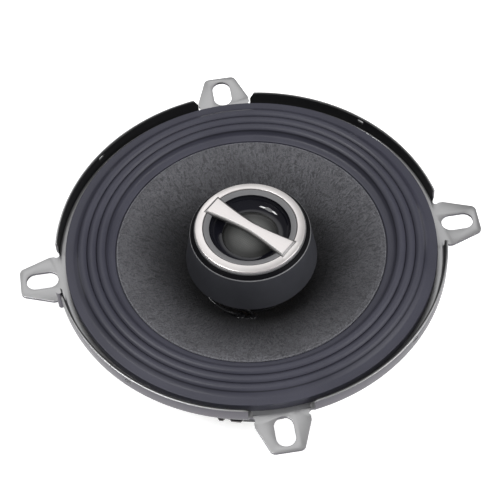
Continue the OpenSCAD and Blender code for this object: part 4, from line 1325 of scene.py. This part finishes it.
def tube(name, route, diameter, turn=0.0):
    """A round wire along given points in millimetres, as a mesh with closed ends."""
    deselect()
    bpy.ops.curve.primitive_bezier_curve_add(location=(0, 0, 0))
    wire = bpy.context.object
    wire.name = name
    curve = wire.data
    curve.splines.clear()
    spline = curve.splines.new("BEZIER")
    spline.bezier_points.add(len(route) - 1)
    spin = Matrix.Rotation(turn, 3, "Z")
    for knot, point in zip(spline.bezier_points, route):
        knot.co = spin @ Vector(point) * MM
        knot.handle_left_type = knot.handle_right_type = "AUTO"
    curve.dimensions = "3D"
    curve.resolution_u = 10
    curve.bevel_depth = diameter / 2 * MM
    curve.bevel_resolution = 4
    curve.use_fill_caps = True
    pick(wire)
    bpy.ops.object.convert(target="MESH")
    wire = bpy.context.object
    bpy.ops.object.mode_set(mode="EDIT")
    close_mesh(1e-6)
    smooth(wire, 50)
    return wire


TINSEL_ROUTES = (
    ((43.8, -3.4, -12.4), (42, -3.4, -12.2), (38, -3.3, -13.4), (33, -3, -14.6), (28, -2.5, -14.2),
     (24, -2, -12.9), (21, -1.6, -12.9), (18.6, -1.4, -13.95)),
    ((43.8, 1.6, -12.4), (42, 1.6, -12.2), (38, 1.7, -13.6), (33, 1.8, -15), (28, 1.7, -14.6),
     (24, 1.6, -13.1), (21, 1.5, -13), (18.6, 1.4, -13.95)),
)
TWEETER_ROUTES = (
    ((-17.4, -6.6, -2), (-17.6, -6.8, -3.4), (-17.8, -8.8, -4.6), (-16.6, -12.2, -5.6),
     (-13.8, -15.6, -6.6), (-10.4, -17.4, -8.4), (-7.8, -17, -10.6), (-6.8, -16, -12)),
    ((-15.4, -8.6, -2), (-15.2, -9, -3.6), (-14.4, -10.8, -5.4), (-12, -13.2, -7), (-8.8, -14.8, -8),
     (-5.6, -16.2, -8.8), (-3.4, -17, -10.4), (-2.8, -17, -12)),
)
CAPACITOR_ROUTES = (
    ((38.2, -6.5, -25.5), (38.3, -8.2, -25.5), (40, -9.2, -25), (44, -8.6, -22.4), (48.6, -6.8, -18.6),
     (50.6, -4.6, -17.7), (52.2, -3.6, -17.3)),
    ((38.2, 6.5, -25.5), (38.3, 8.2, -25.5), (40, 9.2, -25), (44, 8.4, -22.4), (48.6, 6, -18.6),
     (50.6, 3, -17.7), (52.2, 1.8, -17.3)),
)


def joined(name, pieces):
    """Joins like pieces into one object."""
    pick(*pieces)
    bpy.ops.object.join()
    bpy.context.object.name = name
    return bpy.context.object


class SPEAKER_OT_leads(SpeakerOperator, bpy.types.Operator):
    """Runs the braided leads to the cone and the thin leads to the tweeter, with their adhesive"""
    bl_idname = "speaker.leads"
    bl_label = "Leads"

    def execute(self, context):
        t = sizes("speaker_terminals")
        tinsel = joined("braided_leads", [tube("lead", route, t.tinsel, t.angle) for route in TINSEL_ROUTES])
        finish_piece(tinsel, "tinsel_leads", None, material("braid"))
        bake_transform(tinsel)
        tweeter = joined("thin_leads", [tube("lead", route, t.tweeter_lead) for route in TWEETER_ROUTES])
        finish_piece(tweeter, "tweeter_leads", None, material("insulation"))
        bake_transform(tweeter)
        finish_piece(finished_copy("lead_eyelets", 0.06), "lead_eyelets", CONE_BODY, material("tin"))
        self.adhesive(t)
        return {"FINISHED"}

    def adhesive(self, t):
        """Drops of black adhesive over the eyelets, one shape copied and then roughened."""
        c = sizes("speaker_cone")
        slope = math.atan((c.edge_z - c.neck_z) / (c.edge - c.lip - 0.3 - c.neck))
        drops = []
        for index, (shift, wide, tall) in enumerate(((-7, 2.7, 1.0), (7, 2.3, 0.9), (1, 1.5, 0.6))):
            angle = t.angle + math.radians(shift)
            reach = c.neck + 4.4 + (0.9 if index == 2 else 0)
            z = c.neck_z + (reach - c.neck) * math.tan(slope)
            deselect()
            bpy.ops.mesh.primitive_uv_sphere_add(segments=28, ring_count=16, radius=MM)
            drop = bpy.context.object
            bpy.ops.object.mode_set(mode="EDIT")
            bpy.ops.transform.resize(value=(wide, wide * 0.8, tall))
            bpy.ops.transform.vertex_random(offset=0.09 * MM, seed=index + 3)
            bpy.ops.mesh.vertices_smooth(factor=0.5, repeat=2)
            bpy.ops.object.mode_set(mode="OBJECT")
            place = Matrix.Rotation(angle, 4, "Z") @ Matrix.Translation(Vector((reach, 0, z)) * MM)
            drop.matrix_world = place @ Matrix.Rotation(-slope, 4, "Y")
            bpy.ops.object.transform_apply(location=True, rotation=True, scale=True)
            smooth(drop, 80)
            drops.append(drop)
        glue = joined("eyelet_adhesive", drops)
        glue.data.materials.append(material("glue"))
        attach(glue, CONE_BODY)


class SPEAKER_OT_terminals(SpeakerOperator, bpy.types.Operator):
    """Fits the terminal board with its blades and rivets, and the crossover capacitor"""
    bl_idname = "speaker.terminals"
    bl_label = "Terminals"

    def execute(self, context):
        t = sizes("speaker_terminals")
        for node, key, edge in (("terminal_board", "board", 0.15), ("positive_terminal", "shaded_tin", 0.1),
                                ("negative_terminal", "shaded_tin", 0.1), ("terminal_rivets", "tin", 0.12)):
            finish_piece(finished_copy(node, edge), node, FRAME_BODY, material(key))
        out = Vector((math.cos(t.angle), math.sin(t.angle), 0))
        across = Vector((-out.y, out.x, 0))
        low, high = (Vector(corner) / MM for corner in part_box("crossover_capacitor"))
        centre = (low + high) / 2
        radius = (high.z - low.z) / 2
        half = 6.5                                            # half of the can's length
        body = rounded([
            (0.0, -half), (radius - 0.6, -half, 0.3), (radius - 0.1, -half + 0.7, 0.3),
            (radius, -half + 1.4, 0.4), (radius, half - 2.2, 0.3), (radius - 0.35, half - 1.8, 0.3),
            (radius, half - 1.3, 0.3), (radius, half, 0.5), (radius - 1.1, half - 0.15, 0.2),
            (0.0, half - 0.15)])
        can = lathe("capacitor_can", body, 72, centre, across, out)
        finish_piece(can, "crossover_capacitor", FRAME_BODY, material("sleeve"))
        wires = joined("capacitor_wires",
                       [tube("wire", route, t.capacitor_wire, t.angle) for route in CAPACITOR_ROUTES])
        finish_piece(wires, "capacitor_leads", FRAME_BODY, material("tin"))
        return {"FINISHED"}


SOFTBOXES = (            # name, place and size in metres, watts, and whether it shows in reflections
    ("left_window", (-0.53, -0.1, 0.83), (0.36, 0.4), 2.1, True),
    ("left_window_near_end", (-0.64, 0.05, 0.76), (0.16, 0.16), 1.5, True),
    ("left_window_far_end", (-0.4, -0.24, 0.87), (0.16, 0.16), 1.5, True),
    ("right_softbox", (1.1, -0.37, 0.88), (0.8, 0.8), 7.0, True),
    ("front_softbox", (0.75, -0.68, 1.15), (1.6, 1.6), 18.5, False),
)
AIM_OFFSET = (-0.434, 0.864, 0)      # slide of the camera across its own view, in millimetres
SKY_WAY = (-0.03, 0.62, 0.78)        # towards the middle of the light behind the speaker


class SPEAKER_OT_stage(SpeakerOperator, bpy.types.Operator):
    """Sets the pale floor, the soft studio light and the camera"""
    bl_idname = "speaker.stage"
    bl_label = "Stage"

    def execute(self, context):
        scene = context.scene
        s = scene.speaker_studio
        scene.view_settings.view_transform = "Standard"
        deselect()
        bpy.ops.mesh.primitive_plane_add(size=s.floor, location=(0, 0, CAD_BOX[0][2]))
        floor = context.object
        floor.name = "floor"
        floor.data.materials.append(floor_paper())
        self.camera(s)
        self.sky(scene, s)
        for name, place, size_xy, watts, reflected in SOFTBOXES:
            self.lamp(name, place, size_xy, watts).visible_glossy = reflected
        return {"FINISHED"}

    def camera(self, s):
        """A long lens above the near edge, aimed a little past the centre."""
        cos_e = math.cos(s.elevation)
        back = Vector((math.sin(s.azimuth) * cos_e, -math.cos(s.azimuth) * cos_e, math.sin(s.elevation)))
        aim = back.to_track_quat("Z", "Y").to_matrix()
        turn = aim @ Matrix.Rotation(s.roll, 3, "Z")
        slide = aim @ Vector(AIM_OFFSET) * MM
        bpy.ops.object.camera_add()
        camera = bpy.context.object
        camera.matrix_world = Matrix.Translation(back * s.distance + slide) @ turn.to_4x4()
        camera.data.lens = s.lens
        camera.data.sensor_width = 36
        camera.data.clip_start = 0.01
        bpy.context.scene.camera = camera

    def sky(self, scene, s):
        """Soft light all round: bright behind the speaker and dim on the camera's side."""
        world = bpy.data.worlds.new("Studio")
        world.use_nodes = True
        scene.world = world
        n = Nodes(world.node_tree)
        way = n.add("ShaderNodeTexCoord", out="Generated")
        towards = n.add("ShaderNodeVectorMath", {0: way, 1: Vector(SKY_WAY).normalized()},
                        "Value", operation="DOT_PRODUCT")
        background = world.node_tree.nodes["Background"]
        background.inputs["Color"].default_value = (1.0, 1.0, 1.0, 1.0)
        strength = n.ramp(towards, 0.88, 0.975, s.sky_front, s.sky_back)
        world.node_tree.links.new(strength, background.inputs["Strength"])

    def lamp(self, name, place, size_xy, watts):
        """A rectangular softbox that looks at the speaker."""
        bpy.ops.object.light_add(type="AREA", location=place)
        lamp = bpy.context.object
        lamp.name = name
        lamp.data.shape = "RECTANGLE"
        lamp.data.size, lamp.data.size_y = size_xy
        lamp.data.energy = watts
        lamp.rotation_euler = Vector(place).to_track_quat("Z", "Y").to_euler()
        return lamp


OPERATORS = (
    SPEAKER_OT_stage, SPEAKER_OT_leads, SPEAKER_OT_basket, SPEAKER_OT_surround, SPEAKER_OT_cone,
    SPEAKER_OT_spider, SPEAKER_OT_voice_coil, SPEAKER_OT_motor, SPEAKER_OT_pod, SPEAKER_OT_trim,
    SPEAKER_OT_tweeter, SPEAKER_OT_terminals,
)


class SPEAKER_PT_panel(bpy.types.Panel):
    """Lists the speaker's pieces in the order they are made"""
    bl_idname = "SPEAKER_PT_panel"
    bl_label = "Coaxial Speaker"
    bl_space_type = "VIEW_3D"
    bl_region_type = "UI"
    bl_category = "Speaker"

    def draw(self, context):
        for operator in OPERATORS:
            self.layout.operator(operator.bl_idname)
        for name, group in PROPERTY_GROUPS.items():
            box = self.layout.box()
            for key in group.__annotations__:
                box.prop(getattr(context.scene, name), key)


def register():
    for cls in (*PROPERTY_GROUPS.values(), *OPERATORS, SPEAKER_PT_panel):
        bpy.utils.register_class(cls)
    for name, group in PROPERTY_GROUPS.items():
        setattr(bpy.types.Scene, name, PointerProperty(type=group))


def unregister():
    for name in PROPERTY_GROUPS:
        delattr(bpy.types.Scene, name)
    for cls in reversed((*PROPERTY_GROUPS.values(), *OPERATORS, SPEAKER_PT_panel)):
        bpy.utils.unregister_class(cls)


def main():
    register()
    for operator in OPERATORS:
        family, name = operator.bl_idname.split(".")
        getattr(getattr(bpy.ops, family), name)()
    deselect()


if __name__ == "__main__":
    main()
